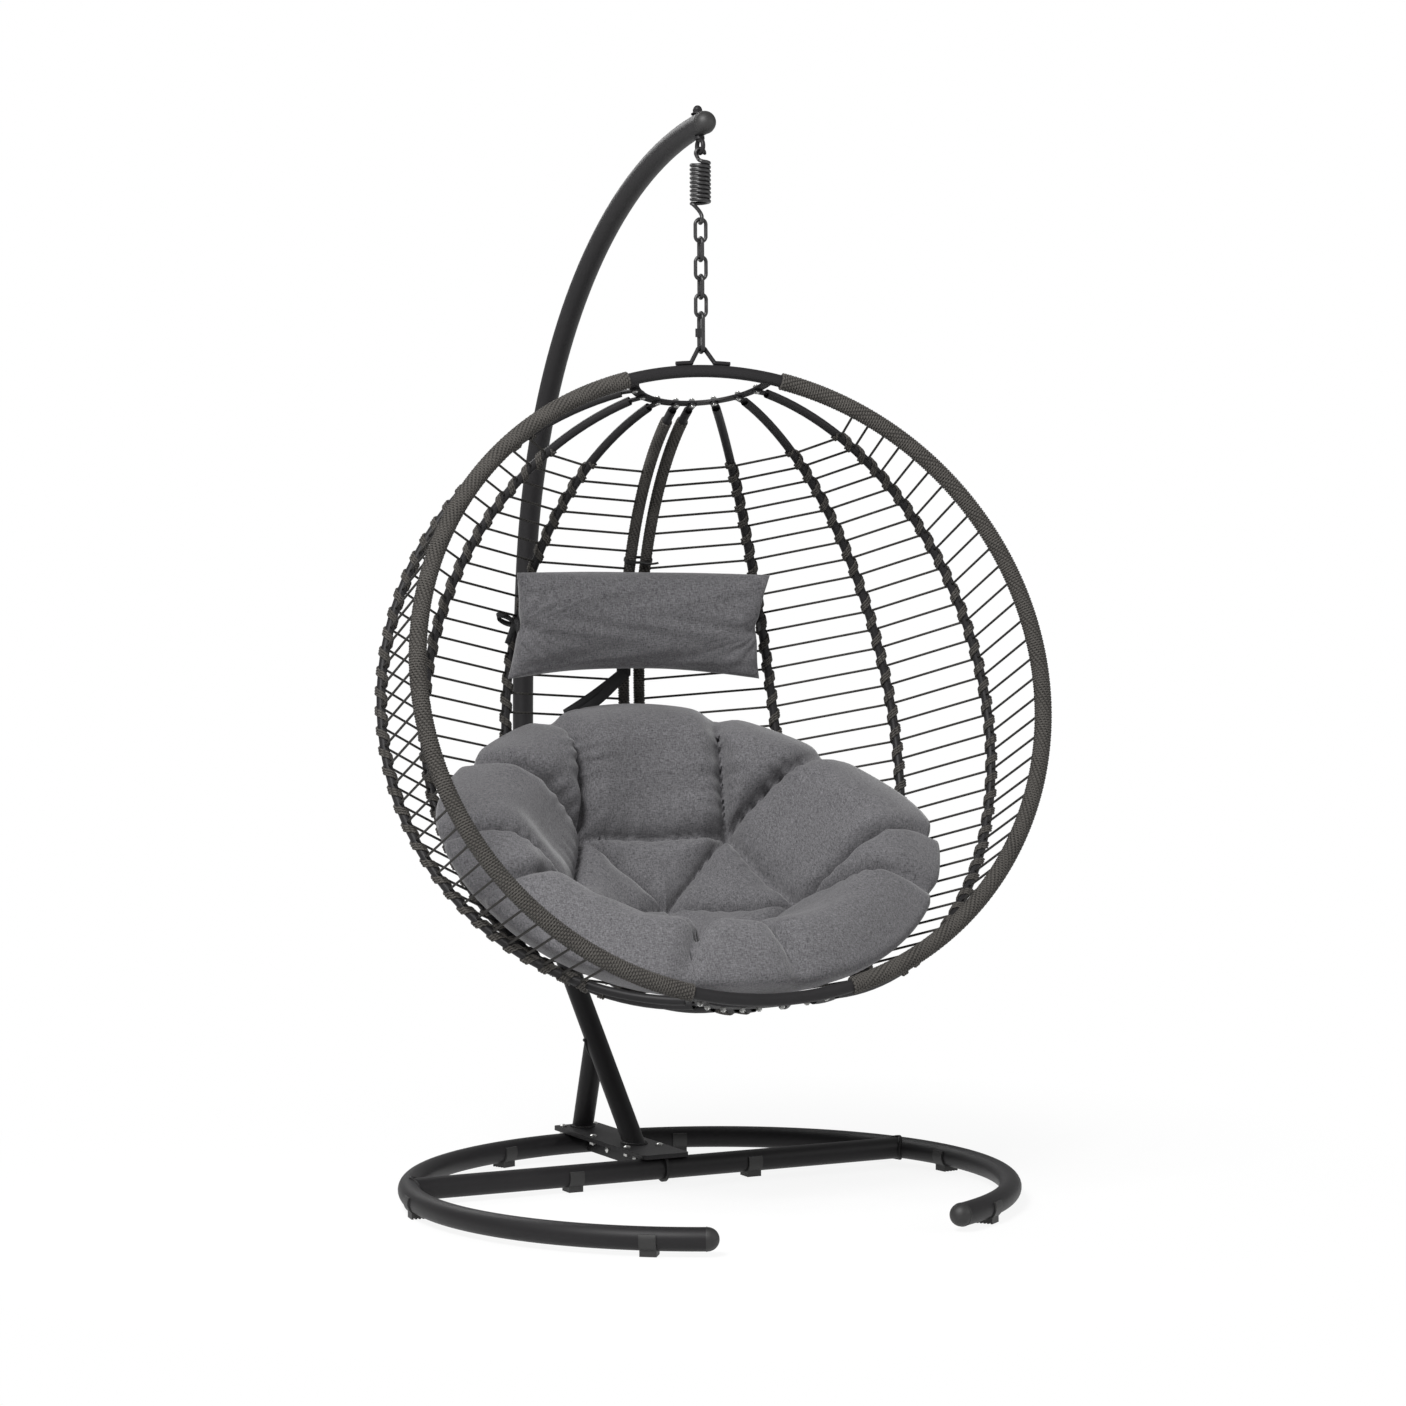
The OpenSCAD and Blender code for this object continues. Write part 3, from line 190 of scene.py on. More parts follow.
distance = shade.make("ShaderNodeVectorMath", {0: spot}, out="Value", operation="LENGTH")
fading = ((distance - shadow_near) * (1 / (shadow_far - shadow_near))).clamped()
white_share = fading * shadow_share + (1 - shadow_share)
mixed = shade.make(
    "ShaderNodeMixShader",
    {0: seen.most(shone) * white_share, 1: Shade(shade.tree, shader.outputs[0]), 2: glow},
)
shade.tree.links.new(mixed.socket, shade.tree.nodes["Material Output"].inputs[0])
floor_mesh.materials.append(floor_paint)
floor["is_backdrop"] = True

dome_light, dome_when_seen, dome_when_shone = 0.25, 0.75, 0.1
world = bpy.data.worlds.new("studio_surround")
bpy.context.scene.world = world
world.use_nodes = True
sky = Shade(world.node_tree)
seen = sky.make("ShaderNodeLightPath", out="Is Camera Ray")
shone = sky.make("ShaderNodeLightPath", out="Is Glossy Ray")
dome = world.node_tree.nodes["Background"]
dome.inputs["Color"].default_value = (1, 1, 1, 1)
strength = seen * dome_when_seen + shone * dome_when_shone + dome_light
world.node_tree.links.new(strength.socket, dome.inputs["Strength"])


def soft_lamp(name, place, aim, size, power):
    """Square area lamp at a place, facing a point."""
    data = bpy.data.lights.new(name, "AREA")
    data.size, data.energy = size, power
    lamp = bpy.data.objects.new(name, data)
    bpy.context.scene.collection.objects.link(lamp)
    back = np.array(place, float) - np.array(aim, float)
    back /= np.linalg.norm(back)
    side = np.cross((0, 0, 1), back)
    side /= np.linalg.norm(side)
    turn = np.eye(4)
    turn[:3, 0], turn[:3, 1], turn[:3, 2], turn[:3, 3] = side, np.cross(back, side), back, place
    lamp.matrix_world = Matrix(turn.tolist())


seat_front, basket_middle = (0, -0.2, 0.9), (0, 0, 1.0)
soft_lamp("key_lamp", place=(-2.6, -2.9, 4.3), aim=seat_front, size=1.6, power=350)
soft_lamp("fill_lamp", place=(4.2, -3.2, 2.6), aim=seat_front, size=2.4, power=60)
soft_lamp("rim_lamp", place=(-1.0, 3.6, 3.6), aim=basket_middle, size=2.0, power=60)


# Stand tubes and plates
# Round steel tube, bent and welded, with two flat plates and an upright spine
# bolted together; all of it wears one coat of fine-grained charcoal powder paint.
def grained(shade, scale, detail=4.0, rough=0.55):
    """Noise over Object coordinates, scale in grains a metre."""
    place = shade.make("ShaderNodeTexCoord", out="Object")
    return shade.make(
        "ShaderNodeTexNoise", {"Vector": place, "Scale": scale, "Detail": detail, "Roughness": rough}
    )


powder_coat, shade, shader = start_material("charcoal_powder_coat")
grain = grained(shade, 1400, 2.0)
cloud = grained(shade, 9, 3.0)
finish_shader(
    shade, shader,
    colour=(cloud * 0.6 + grain * 0.4).between((0.008, 0.0076, 0.0082), (0.020, 0.019, 0.0202)),
    roughness=grain * 0.16 + cloud * 0.12 + 0.36,
    height=grain, depth=0.00012, Specular_IOR_Level=0.22,
)


def repaint(material, *names):
    """Gives CAD nodes a material in place of their plain one."""
    for name in names:
        slots = nodes[name].data.materials
        slots.clear()
        slots.append(material)


repaint(
    powder_coat, "rear_ring", "left_ring_arc", "right_ring_arc", "crossbar", "base_spine",
    "lower_plate", "mast_plate", "lower_mast", "middle_mast", "mast_bow", "mast_brace",
    "eye_bolt", "eye_cap_nut",
)

# Welds
# A rippled bead runs round each joint that is welded: the mast and its brace on
# the plate, the brace on the mast, and the crossbar between the sides of the ring.
stand_turn = math.radians(8)
tube_radius, plate_top = 0.020, 0.0561
mast_lean, mast_foot_y = math.radians(44), 0.315
brace_foot_y, brace_head = 0.545, np.array([0, 0.483996, 0.2311])
crossbar_back, ring_radius, ring_height = 0.193, 0.533, 0.028
bead_radius, bead_swell, bead_ripples, bead_sides = 0.0032, 0.16, 60, 8
bead_lift, bead_room = 0.0004, 0.0002
round_turn = np.linspace(0, 2 * np.pi, 120, endpoint=False)


def shown(name, points, faces, material, body, uv=None):
    """Smooth mesh piece at the origin from points and faces, riding on a body if one is named."""
    mesh = bpy.data.meshes.new(name)
    mesh.from_pydata(np.asarray(points, float).reshape(-1, 3).tolist(), [], faces)
    mesh.polygons.foreach_set("use_smooth", np.ones(len(mesh.polygons), bool))
    if uv is not None:
        layer = mesh.uv_layers.new(name="surface")
        corner = np.empty(len(mesh.loops), np.int32)
        mesh.loops.foreach_get("vertex_index", corner)
        layer.data.foreach_set("uv", np.asarray(uv, np.float32)[corner].ravel())
    mesh.materials.append(material)
    mesh.update()
    piece = bpy.data.objects.new(name, mesh)
    bpy.context.scene.collection.objects.link(piece)
    if body:
        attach(piece, body)
    return piece


def closed_lattice(rows, columns, start=0):
    """Quads of a grid that joins up both ways."""
    i, k = np.arange(rows)[:, None], np.arange(columns)[None, :]
    a, b = i * columns + k, i * columns + (k + 1) % columns
    c, d = ((i + 1) % rows) * columns + (k + 1) % columns, ((i + 1) % rows) * columns + k
    return (np.stack([a, b, c, d], -1).reshape(-1, 4) + start).tolist()


def stand_place(points):
    """Stand coordinates, with their origin on the floor below the ring's centre, to the chair's."""
    c, s = math.cos(stand_turn), math.sin(stand_turn)
    x, y, z = np.moveaxis(np.asarray(points, float), -1, 0)
    return np.stack([ring_centre[0] + x * c - y * s, ring_centre[1] + x * s + y * c, z], -1)


def bead(path):
    """Closed weld bead along a closed path: a tube whose radius swells at every ripple."""
    ripple = np.linspace(0, bead_ripples * np.pi, len(path), endpoint=False)
    radius = bead_radius * (1 + bead_swell * np.abs(np.sin(ripple)))
    ahead, behind = np.roll(path, -1, 0), np.roll(path, 1, 0)
    tangent = (ahead - behind) / np.linalg.norm(ahead - behind, axis=1, keepdims=True)
    out = path - path.mean(0)
    out -= (out * tangent).sum(1, keepdims=True) * tangent
    out /= np.linalg.norm(out, axis=1, keepdims=True)
    side = np.cross(tangent, out)
    turn = np.linspace(0, 2 * np.pi, bead_sides, endpoint=False)
    ring = np.cos(turn)[None, :, None] * out[:, None] + np.sin(turn)[None, :, None] * side[:, None]
    return path[:, None] + radius[:, None, None] * ring


def cut_ellipse(foot_y, lean):
    """Where a tube that leans rearwards by an angle meets the top of the plate."""
    x = tube_radius * np.cos(round_turn)
    y = foot_y + tube_radius / math.cos(lean) * np.sin(round_turn)
    return np.stack([x, y, np.full_like(round_turn, plate_top + bead_lift)], -1)


brace_lean = math.atan2(brace_head[1] - brace_foot_y, brace_head[2] - plate_top)
bead_paths = [cut_ellipse(mast_foot_y, mast_lean), cut_ellipse(brace_foot_y, brace_lean)]

# The end circle of the brace slides back along the brace until each of its points
# meets the mast's surface: the greater root of a quadratic in the distance.
mast_way = np.array([0, math.sin(mast_lean), math.cos(mast_lean)])
brace_way = np.array([0, math.sin(brace_lean), math.cos(brace_lean)])
brace_across = np.cross(brace_way, (1, 0, 0))
brace_end = (
    brace_head
    + tube_radius * np.cos(round_turn)[:, None] * np.array([1.0, 0, 0])
    + tube_radius * np.sin(round_turn)[:, None] * brace_across
)
from_mast = brace_end - np.array([0, mast_foot_y, plate_top])
off_axis = from_mast - (from_mast @ mast_way)[:, None] * mast_way
brace_off_axis = brace_way - (brace_way @ mast_way) * mast_way
quad_a = brace_off_axis @ brace_off_axis
quad_b = off_axis @ brace_off_axis
quad_c = (off_axis * off_axis).sum(1) - (tube_radius + bead_room) ** 2
back_off = (quad_b + np.sqrt(np.maximum(quad_b**2 - quad_a * quad_c, 0))) / quad_a
bead_paths.append(brace_end - back_off[:, None] * brace_way)

bar_y = crossbar_back + tube_radius * np.cos(round_turn)
bar_z = tube_radius * np.sin(round_turn)
ring_inner = ring_radius - np.sqrt(np.maximum((tube_radius + bead_room) ** 2 - bar_z**2, 0))
bar_x = np.sqrt(ring_inner**2 - bar_y**2)
for side in (-1, 1):
    bead_paths.append(np.stack([side * bar_x, bar_y, ring_height + bar_z], -1))
weld_points, weld_faces = [], []
for path in bead_paths:
    weld_faces += closed_lattice(len(path), bead_sides, sum(len(p) for p in weld_points))
    weld_points.append(bead(stand_place(path)).reshape(-1, 3))
shown("weld_beads", np.concatenate(weld_points), weld_faces, powder_coat, "stand")

# Feet, caps and cable ties
# Black moulded plastic: clip-on feet with grooved soles, domed plugs in the open
# tube ends, and nylon ties that hold the two centre ribs together.
moulded_plastic, shade, shader = start_material("black_moulded_plastic")
speckle = grained(shade, 2200, 2.0)
patch = grained(shade, 25, 3.0)
finish_shader(
    shade, shader,
    colour=(patch * 0.7 + speckle * 0.3).between((0.010, 0.010, 0.010), (0.024, 0.023, 0.023)),
    roughness=speckle * 0.2 + patch * 0.15 + 0.38,
    height=speckle, depth=0.00010,
)
repaint(moulded_plastic, "ring_end_caps", "ring_feet", "crossbar_feet", "mast_end_cap", "cable_ties")

# Bolts and nuts
# Hexagon bolts and nuts that clamp the plates, the spine and the ribs' flattened ends:
# bright zinc-plated steel, with the faint cloudy patches that the plating leaves.
zinc_plate, shade, shader = start_material("bright_zinc_plate")
brushed = grained(shade, 700, 3.0)
cloudy = grained(shade, 120, 3.0)
finish_shader(
    shade, shader,
    colour=(cloudy * 0.6 + brushed * 0.4).between((0.40, 0.40, 0.39), (0.72, 0.72, 0.70)),
    roughness=brushed * 0.18 + cloudy * 0.12 + 0.14,
    height=brushed, depth=0.00005, Metallic=1.0,
)
repaint(zinc_plate, "plate_bolts", "plate_nuts", "spine_bolts", "spine_nuts", "rib_bolts", "rib_nuts")

# Spring
# One length of hard wire coiled close, with an open hook at each end turned a
# quarter round from the other; it hangs in the eye and carries the chain.
hang_y = -0.134975
wire_radius, coil_radius, coil_rise, coil_turns = 0.0035, 0.0155, 0.00745, 9.75
hook_radius, hook_top, coil_top, hook_bottom = 0.008, 1.86046, 1.83646, 1.72982
top_hook_from, top_hook_to, low_hook_from, low_hook_to = -20, 210, 150, 380
hook_steps, coil_steps, neck_steps, wire_sides = 40, 400, 24, 14
rounded_rings, tip_flat = 3.0, 0.95


def lattice(rows, columns, start=0, around=True):
    """Quads of a grid of points stored row by row; around joins the last column to the first."""
    i = np.arange(rows - 1)[:, None]
    k = np.arange(columns if around else columns - 1)[None, :]
    a, b = i * columns + k, i * columns + (k + 1) % columns
    return (np.stack([a, b, b + columns, a + columns], -1).reshape(-1, 4) + start).tolist()


def caps(rows, columns, start=0):
    """End faces that close a tube of rings stored row by row."""
    first = list(range(start, start + columns))
    last = [start + (rows - 1) * columns + k for k in range(columns)]
    return [first[::-1], last]


def carried_normals(path):
    """Two normals at each point of a path, carried along it without twist."""
    step = np.gradient(path, axis=0)
    tangent = step / np.linalg.norm(step, axis=1, keepdims=True)
    normal = np.empty_like(tangent)
    unlike_any_start = (0.31, 0.27, 0.91)
    now = np.cross(tangent[0], unlike_any_start)
    for i, t in enumerate(tangent):
        now = now - (now @ t) * t
        now = now / np.linalg.norm(now)
        normal[i] = now
    return normal, np.cross(tangent, normal)


def tube_points(path, radius, sides):
    """Rings of points at a radius, which may vary along the path, round a path."""
    normal, side = carried_normals(path)
    turn = np.linspace(0, 2 * np.pi, sides, endpoint=False)
    radius = np.broadcast_to(np.asarray(radius, float), (len(path),))
    ring = np.cos(turn)[None, :, None] * normal[:, None] + np.sin(turn)[None, :, None] * side[:, None]
    return path[:, None] + radius[:, None, None] * ring


def coil_point(turn):
    """Helix that sinks by the coil's rise at every turn."""
    a = 2 * np.pi * turn
    return np.stack([coil_radius * np.sin(a), -coil_radius * np.cos(a), coil_top - coil_rise * turn], -1)


def top_hook(angle):
    """Circle of the top hook, which lies across."""
    a = np.radians(angle)
    up = hook_top - hook_radius + hook_radius * np.sin(a)
    return np.stack([hook_radius * np.cos(a), np.zeros_like(a), up], -1)


def low_hook(angle):
    """Circle of the low hook, which lies fore and aft."""
    a = np.radians(angle)
    up = hook_bottom + hook_radius + hook_radius * np.sin(a)
    return np.stack([np.zeros_like(a), hook_radius * np.cos(a), up], -1)


def neck(a, b, c, d):
    """Cubic curve from a to d, led by the control points b and c, without its ends."""
    t = np.linspace(0, 1, neck_steps)[1:-1, None]
    return (1 - t) ** 3 * a + 3 * t * (1 - t) ** 2 * b + 3 * t * t * (1 - t) * c + t**3 * d


pull = coil_radius * 0.6
lean_in, lean_down, coil_lift = pull * 0.5, pull * 0.866, pull * 0.3
first_coil, last_coil = coil_point(np.array([0.0, coil_turns]))
top_end = top_hook(np.array([top_hook_to]))[0]
low_end = low_hook(np.array([low_hook_from]))[0]
wire = np.concatenate(
    [
        top_hook(np.linspace(top_hook_from, top_hook_to, hook_steps)),
        neck(top_end, top_end + (lean_in, 0, -lean_down), first_coil - (pull, 0, -coil_lift), first_coil),
        coil_point(np.linspace(0, coil_turns, coil_steps)),
        neck(last_coil, last_coil - (0, pull, coil_lift), low_end + (0, lean_in, lean_down), low_end),
        low_hook(np.linspace(low_hook_from, low_hook_to, hook_steps)),
    ]
) + (0, hang_y, 0)
to_end = np.minimum(np.arange(len(wire)), np.arange(len(wire))[::-1])
wire_size = wire_radius * np.sqrt(1 - np.clip(1 - to_end / rounded_rings, 0, tip_flat) ** 2)

black_steel, shade, shader = start_material("black_coated_steel")
pits = grained(shade, 900, 3.0)
worn = grained(shade, 60, 4.0)
finish_shader(
    shade, shader,
    colour=((worn - 0.62) * 8.0).clamped().between((0.014, 0.0135, 0.014), (0.06, 0.058, 0.056)),
    roughness=pits * 0.2 + 0.30,
    height=pits, depth=0.00012, Specular_IOR_Level=0.5,
)
spring_piece = shown(
    "coil_spring", tube_points(wire, wire_size, wire_sides),
    lattice(len(wire), wire_sides) + caps(len(wire), wire_sides), black_steel, None,
)
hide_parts("spring")
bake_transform(spring_piece)

# Chain and quick link
# Five welded oval links of black-coated wire, then a long screw link whose
# sleeve closes the gap in its rear leg.
repaint(
    black_steel, "chain_link_1", "chain_link_2", "chain_link_3", "chain_link_4", "chain_link_5",
    "quick_link", "quick_link_nut",
)

# Basket frame
# The rim is a bent tube, bare at the top and the bottom; a flat half-ring at each
# end carries the bent tube ribs, and a welded rod loop on top hangs from the chain.
repaint(
    powder_coat, "top_rim_tube", "bottom_rim_tube", "left_rim_tube", "right_rim_tube", "hanging_loop",
    "top_half_ring", "bottom_half_ring", "left_rib_1", "left_rib_2", "left_rib_3", "right_rib_1",
    "right_rib_2", "right_rib_3", "left_centre_rib", "right_centre_rib",
)
basket_tilt = math.radians(18.5)
rim_radius, loop_height, loop_top = 0.565, 0.044, 1.51092


def basket_place(points):
    """Basket coordinates, with their origin at the rim's middle, +Y rear and +Z up, to the chair's."""
    x, y, z = np.moveaxis(np.asarray(points, float), -1, 0)
    z = z - rim_radius - loop_height
    c, s = math.cos(basket_tilt), math.sin(basket_tilt)
    return np.stack([x, hang_y + c * y + s * z, loop_top - s * y + c * z], -1)


# Cord wrapping
# Braided taupe cord wound close round the rim's two sides and the two centre
# ribs, turn against turn, so that the ends of the wall's cords are held under it.
cord_radius, cord_pitch, braid_pitch, braid_slant = 0.00225, 0.0046, 0.0078, 0.9
groove_depth, turn_lean, wound_uneven, braid_shift = cord_radius * 1.1, 0.25, 0.00022, 0.0013
rim_wrap_radius, rim_wrap_sides, bare_angle = 0.0155, 22, math.radians(14.5)
rim_sweep = math.pi - 2 * bare_angle
rib_offset, rib_bend, rib_radius = 0.0754485, 0.552552, 0.008
centre_rib_x, centre_wrap_radius, centre_wrap_sides = 0.015, 0.011, 16
wrap_sweep = math.radians(78.2459)


def cord_material(name, dark, light):
    """Braided cord between two colours: the larger of two crossing sine waves along its UV map, which is
    the braid's relief and also paints shade into the grooves between strands.
    """
    material, shade, shader = start_material(name)
    lie = shade.make("ShaderNodeTexCoord", out="UV")
    along = shade.make("ShaderNodeSeparateXYZ", {0: lie})
    across = Shade(shade.tree, along.socket.node.outputs[1])
    strand = 2 * math.pi / braid_pitch
    one_way = (along * strand + across * (strand * braid_slant)).sine()
    other_way = (along * strand - across * (strand * braid_slant)).sine()
    braid = one_way.most(other_way) * 0.5 + 0.5
    fibre = grained(shade, 1600, 3.0)
    fade = grained(shade, 14, 4.0)
    # Painted shade: the colour is darker where the braid's relief is low, in the grooves between strands;
    # the fibre and fade noise are the cord's own uneven tone.
    cord_tone_and_groove_shade = (braid * 0.75 + fibre * 0.4 + fade * 0.3 - 0.30).clamped()
    finish_shader(
        shade, shader, colour=cord_tone_and_groove_shade.between(dark, light), roughness=fibre * 0.15 + 0.72,
        height=braid * 0.7 + fibre * 0.3, depth=0.0006, Specular_IOR_Level=0.25,
    )
    return material


braided_cord = cord_material("braided_taupe_cord", (0.009, 0.0084, 0.0078), (0.088, 0.082, 0.075))


def wrapped(name, middle, outward, sideways, length, outer, columns):
    """Sleeve round a bent tube whose radius follows a close row of round cords.

    Each turn of cord is six rings, whose height is a half ellipse across the turn. The turns
    lean by half a pitch from side to side, and a slow sine wave makes them a little uneven."""
    turns = int(length / cord_pitch)
    share = np.array([0.0, 0.1, 0.3, 0.5, 0.7, 0.9])
    run = np.append((np.arange(turns)[:, None] + share).ravel(), turns) / turns
    part = np.append(np.tile(share, turns), 0.0)
    rise = np.sqrt(np.maximum(1 - (2 * part - 1) ** 2, 0))
    turn = np.linspace(0, 2 * np.pi, columns, endpoint=False)
    inside = np.clip(np.minimum(run, 1 - run) * turns, 0, 1)[:, None]
    spot = run[:, None] + turn_lean / turns * np.cos(turn)[None, :] * inside
    wobble = wound_uneven * np.sin(37 * spot * turns / 11 + 3 * turn[None, :])
    radius = outer - groove_depth + groove_depth * rise[:, None] + wobble
    points = (
        middle(spot)
        + (radius * np.cos(turn))[..., None] * outward(spot)
        + (radius * np.sin(turn))[..., None] * sideways(spot)
    )
    round_cord = np.broadcast_to(turn * outer, spot.shape) + np.floor(run * turns)[:, None] * braid_shift
    wrap = shown(
        name + "_cord", basket_place(points), lattice(len(run), columns) + caps(len(run), columns),
        braided_cord, "basket", uv=np.stack([round_cord, spot * length], -1).reshape(-1, 2),
    )
    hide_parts(name)


for side, name in ((1, "right_rim_wrap"), (-1, "left_rim_wrap")):

    def rim_out(spot):
        """Direction out of the rim's circle, from the bottom of the wrapping to its top."""
        a = -math.pi / 2 + bare_angle + rim_sweep * spot
        return np.stack([side * np.cos(a), np.zeros_like(a), np.sin(a)], -1)

    def rim_middle(spot):
        """Point on the rim's circle."""
        return rim_radius * rim_out(spot)

    def rim_side(spot):
        """Direction square to the rim's circle."""
        return np.broadcast_to((0.0, -1.0 * side, 0.0), spot.shape + (3,))

    wrapped(
        name, rim_middle, rim_out, rim_side, rim_radius * rim_sweep, rim_wrap_radius, rim_wrap_sides
    )

for side, name in ((1, "right_centre_wrap"), (-1, "left_centre_wrap")):

    def spine_out(spot):
        """Direction out of a centre rib's arc, from the bottom of the wrapping to its top."""
        a = -wrap_sweep + 2 * wrap_sweep * spot
        return np.stack([np.zeros_like(a), np.cos(a), np.sin(a)], -1)

    def spine_middle(spot):
        """Point on a centre rib's arc."""
        return rib_bend * spine_out(spot) + (side * centre_rib_x, rib_offset, 0)

    def spine_side(spot):
        """Direction square to a centre rib's arc."""
        return np.broadcast_to((1.0, 0.0, 0.0), spot.shape + (3,))

    wrapped(
        name, spine_middle, spine_out, spine_side, rib_bend * 2 * wrap_sweep, centre_wrap_radius,
        centre_wrap_sides,
    )

# Wall cords
# A darker cord runs level from the rim across the ribs to the centre ribs, and a
# flat lay of three taupe cords winds up each rib, one turn for every row of wall cord.
# Its colour also has painted shade in the grooves between strands.
dark_cord = cord_material("braided_black_cord", (0.009, 0.0085, 0.008), (0.050, 0.047, 0.043))
rows, row_sweep = 35, math.radians(63)
rib_angles = np.radians([65.0, 46.0, 25.0])
row_angles = np.linspace(-row_sweep, row_sweep, rows)
rim_hold, rib_hold, centre_hold = rim_wrap_radius * 0.75, rib_radius * 0.6, centre_wrap_radius * 0.7
cord_sides, cord_rings = 7, 9
winding_sides, winding_rings, winding_lags = 6, 14, (0.0, 0.135, 0.27)
winding_bed, overrun = rib_radius + cord_radius * 0.75, 0.4
winding_uv_step, winding_uv_side = 0.0043, 0.0024


def rib_point(turn, angle):
    """Point on the line of a rib that stands at an angle from the rear."""
    out = rib_offset + rib_bend * np.cos(angle)
    return np.stack([out * math.sin(turn), out * math.cos(turn), rib_bend * np.sin(angle)], -1)


def rim_point(angle):
    """Point on the rim's line at the height of a row."""
    rise = np.arcsin(rib_bend * np.sin(angle) / rim_radius)
    return np.stack([rim_radius * np.cos(rise), np.zeros_like(rise), rim_radius * np.sin(rise)], -1)


def centre_point(angle):
    """Point on the line of the centre rib at the height of a row."""
    out = rib_offset + rib_bend * np.cos(angle)
    return np.stack([np.full_like(out, centre_rib_x), out, rib_bend * np.sin(angle)], -1)


def add_tubes(tubes, uv, batch):
    """Adds a stack of tubes, [tube, ring, side, xyz], to the points, faces and UVs of a mesh."""
    points, faces, spots = batch
    start = sum(len(p) for p in points)
    count, rings, sides = tubes.shape[:3]
    block = np.array(lattice(rings, sides))
    offset = start + np.arange(count)[:, None, None] * rings * sides
    faces.extend((block[None] + offset).reshape(-1, 4).tolist())
    for k in range(count):
        faces.extend(caps(rings, sides, start + k * rings * sides))
    points.append(tubes.reshape(-1, 3))
    spots.append(uv.reshape(-1, 2))


level_cords, rib_windings = ([], [], []), ([], [], [])
stops = [rim_point(row_angles)]
stops += [rib_point(a, row_angles) for a in rib_angles]
stops += [centre_point(row_angles)]
hold_in = [rim_hold, rib_hold, rib_hold, rib_hold, centre_hold]
cord_turn = np.linspace(0, 2 * np.pi, cord_sides, endpoint=False)
for a, b, in_a, in_b in zip(stops[:-1], stops[1:], hold_in[:-1], hold_in[1:]):
    way = b - a
    span = np.linalg.norm(way, axis=1, keepdims=True)
    way = way / span
    low, high = a + in_a * way, b - in_b * way
    t = np.linspace(0, 1, cord_rings)[None, :, None]
    middle = low[:, None] + t * (high - low)[:, None]
    side = np.cross(way, (0.0, 0.0, 1.0))
    side /= np.linalg.norm(side, axis=1, keepdims=True)
    upright = np.cross(side, way)
    c, s = np.cos(cord_turn)[None, :, None], np.sin(cord_turn)[None, :, None]
    ring = c * side[:, None] + s * upright[:, None]
    tubes = middle[:, :, None] + cord_radius * ring[:, None]
    u = np.broadcast_to((t * span[:, None])[..., 0][..., None], tubes.shape[:3])
    v = np.broadcast_to(cord_turn * cord_radius, tubes.shape[:3])
    add_tubes(tubes, np.stack([u, v], -1), level_cords)

row_step = 2 * row_sweep / (rows - 1)
climb_end = row_sweep + row_step * overrun
climb = np.linspace(-climb_end, climb_end, int((rows - 1 + 2 * overrun) * winding_rings))
for stand_angle in rib_angles:
    c, s = math.cos(stand_angle), math.sin(stand_angle)
    out = np.stack([np.cos(climb) * s, np.cos(climb) * c, np.sin(climb)], -1)
    across_rib = np.array([-c, s, 0.0])
    for lag in winding_lags:
        wind = 2 * np.pi * (climb / row_step + lag)
        middle = rib_point(stand_angle, climb) + winding_bed * (
            np.cos(wind)[:, None] * out + np.sin(wind)[:, None] * across_rib
        )
        rings = tube_points(middle, cord_radius, winding_sides)
        u = np.broadcast_to(np.arange(len(middle))[:, None] * winding_uv_step, rings.shape[:2])
        v = np.broadcast_to(np.arange(winding_sides) * winding_uv_side, rings.shape[:2])
        add_tubes(rings[None], np.stack([u, v], -1), rib_windings)

for side, hand in ((1, "right"), (-1, "left")):
    for batch, label, material in (
        (level_cords, "wall_cords", dark_cord),
        (rib_windings, "rib_windings", braided_cord),
    ):
        faces = batch[1] if side > 0 else [f[::-1] for f in batch[1]]
        wall = shown(
            hand + "_" + label, basket_place(np.concatenate(batch[0]) * (side, 1, 1)), faces, material,
            "basket", uv=np.concatenate(batch[2]),
        )
        if batch is level_cords:
            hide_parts(hand + "_ropes")

# Seat cushion
# A round cover of flecked grey cloth, filled and tufted: five tufts in a ring and one in the
# middle are joined by seams, and two seams run from each of the ring to the edge. It lies loose
# on the wall cords, with straps at its rear.
seat_half_w, seat_half_l = math.radians(53), math.radians(47)
seat_drop, seat_aside = math.radians(35), math.radians(-2)
seat_room, seat_thick, seat_edge = 0.0177361, 0.130, 0.036
edge_swell, edge_top, least_thick = seat_edge * 0.5, seat_edge * 0.7, seat_edge * 0.4
tuft_ring, seam_spread, seam_lean, seam_end = 0.48, 13, 5, 1.02
stitch_reach, pit_depth, pit_reach = 0.016, 0.24, 0.06
pucker_pitch, pucker_reach, crease_depth = 0.095, 0.055, 0.0030
edge_draw, draw_reach, draw_from, draw_run = 0.035, 0.05, 0.55, 0.4
seat_cols = 300


def wall_reach(way, bend):
    """Distance from the basket's middle to the wall, along unit directions."""
    flat = rib_offset * np.hypot(way[..., 0], way[..., 1])
    return flat + np.sqrt(bend**2 - (rib_offset * way[..., 2]) ** 2)


def seat_way(p):
    """Direction from the basket's middle to a point of the cushion's flat pattern."""
    a, b = seat_aside + seat_half_w * p[..., 0], -seat_drop + seat_half_l * p[..., 1]
    return np.stack([np.sin(a), np.cos(a) * np.cos(b), np.cos(a) * np.sin(b)], -1)


tuft_angles = np.radians(54 + 72 * np.arange(5))
tufts = tuft_ring * np.stack([np.cos(tuft_angles), np.sin(tuft_angles)], -1)
middle_tuft = np.array([0.0, 0.05])
seams = [(tufts[k], tufts[(k + 1) % 5]) for k in range(5)]
seams += [(middle_tuft, tuft) for tuft in tufts]
for angle, tuft in zip(tuft_angles, tufts):
    lean = 0 if abs(tuft[0]) < 0.01 else math.copysign(math.radians(seam_lean), tuft[0])
    for spread in (-seam_spread, seam_spread):
        end = angle + lean + math.radians(spread)
        seams.append((tuft, seam_end * np.array([math.cos(end), math.sin(end)])))


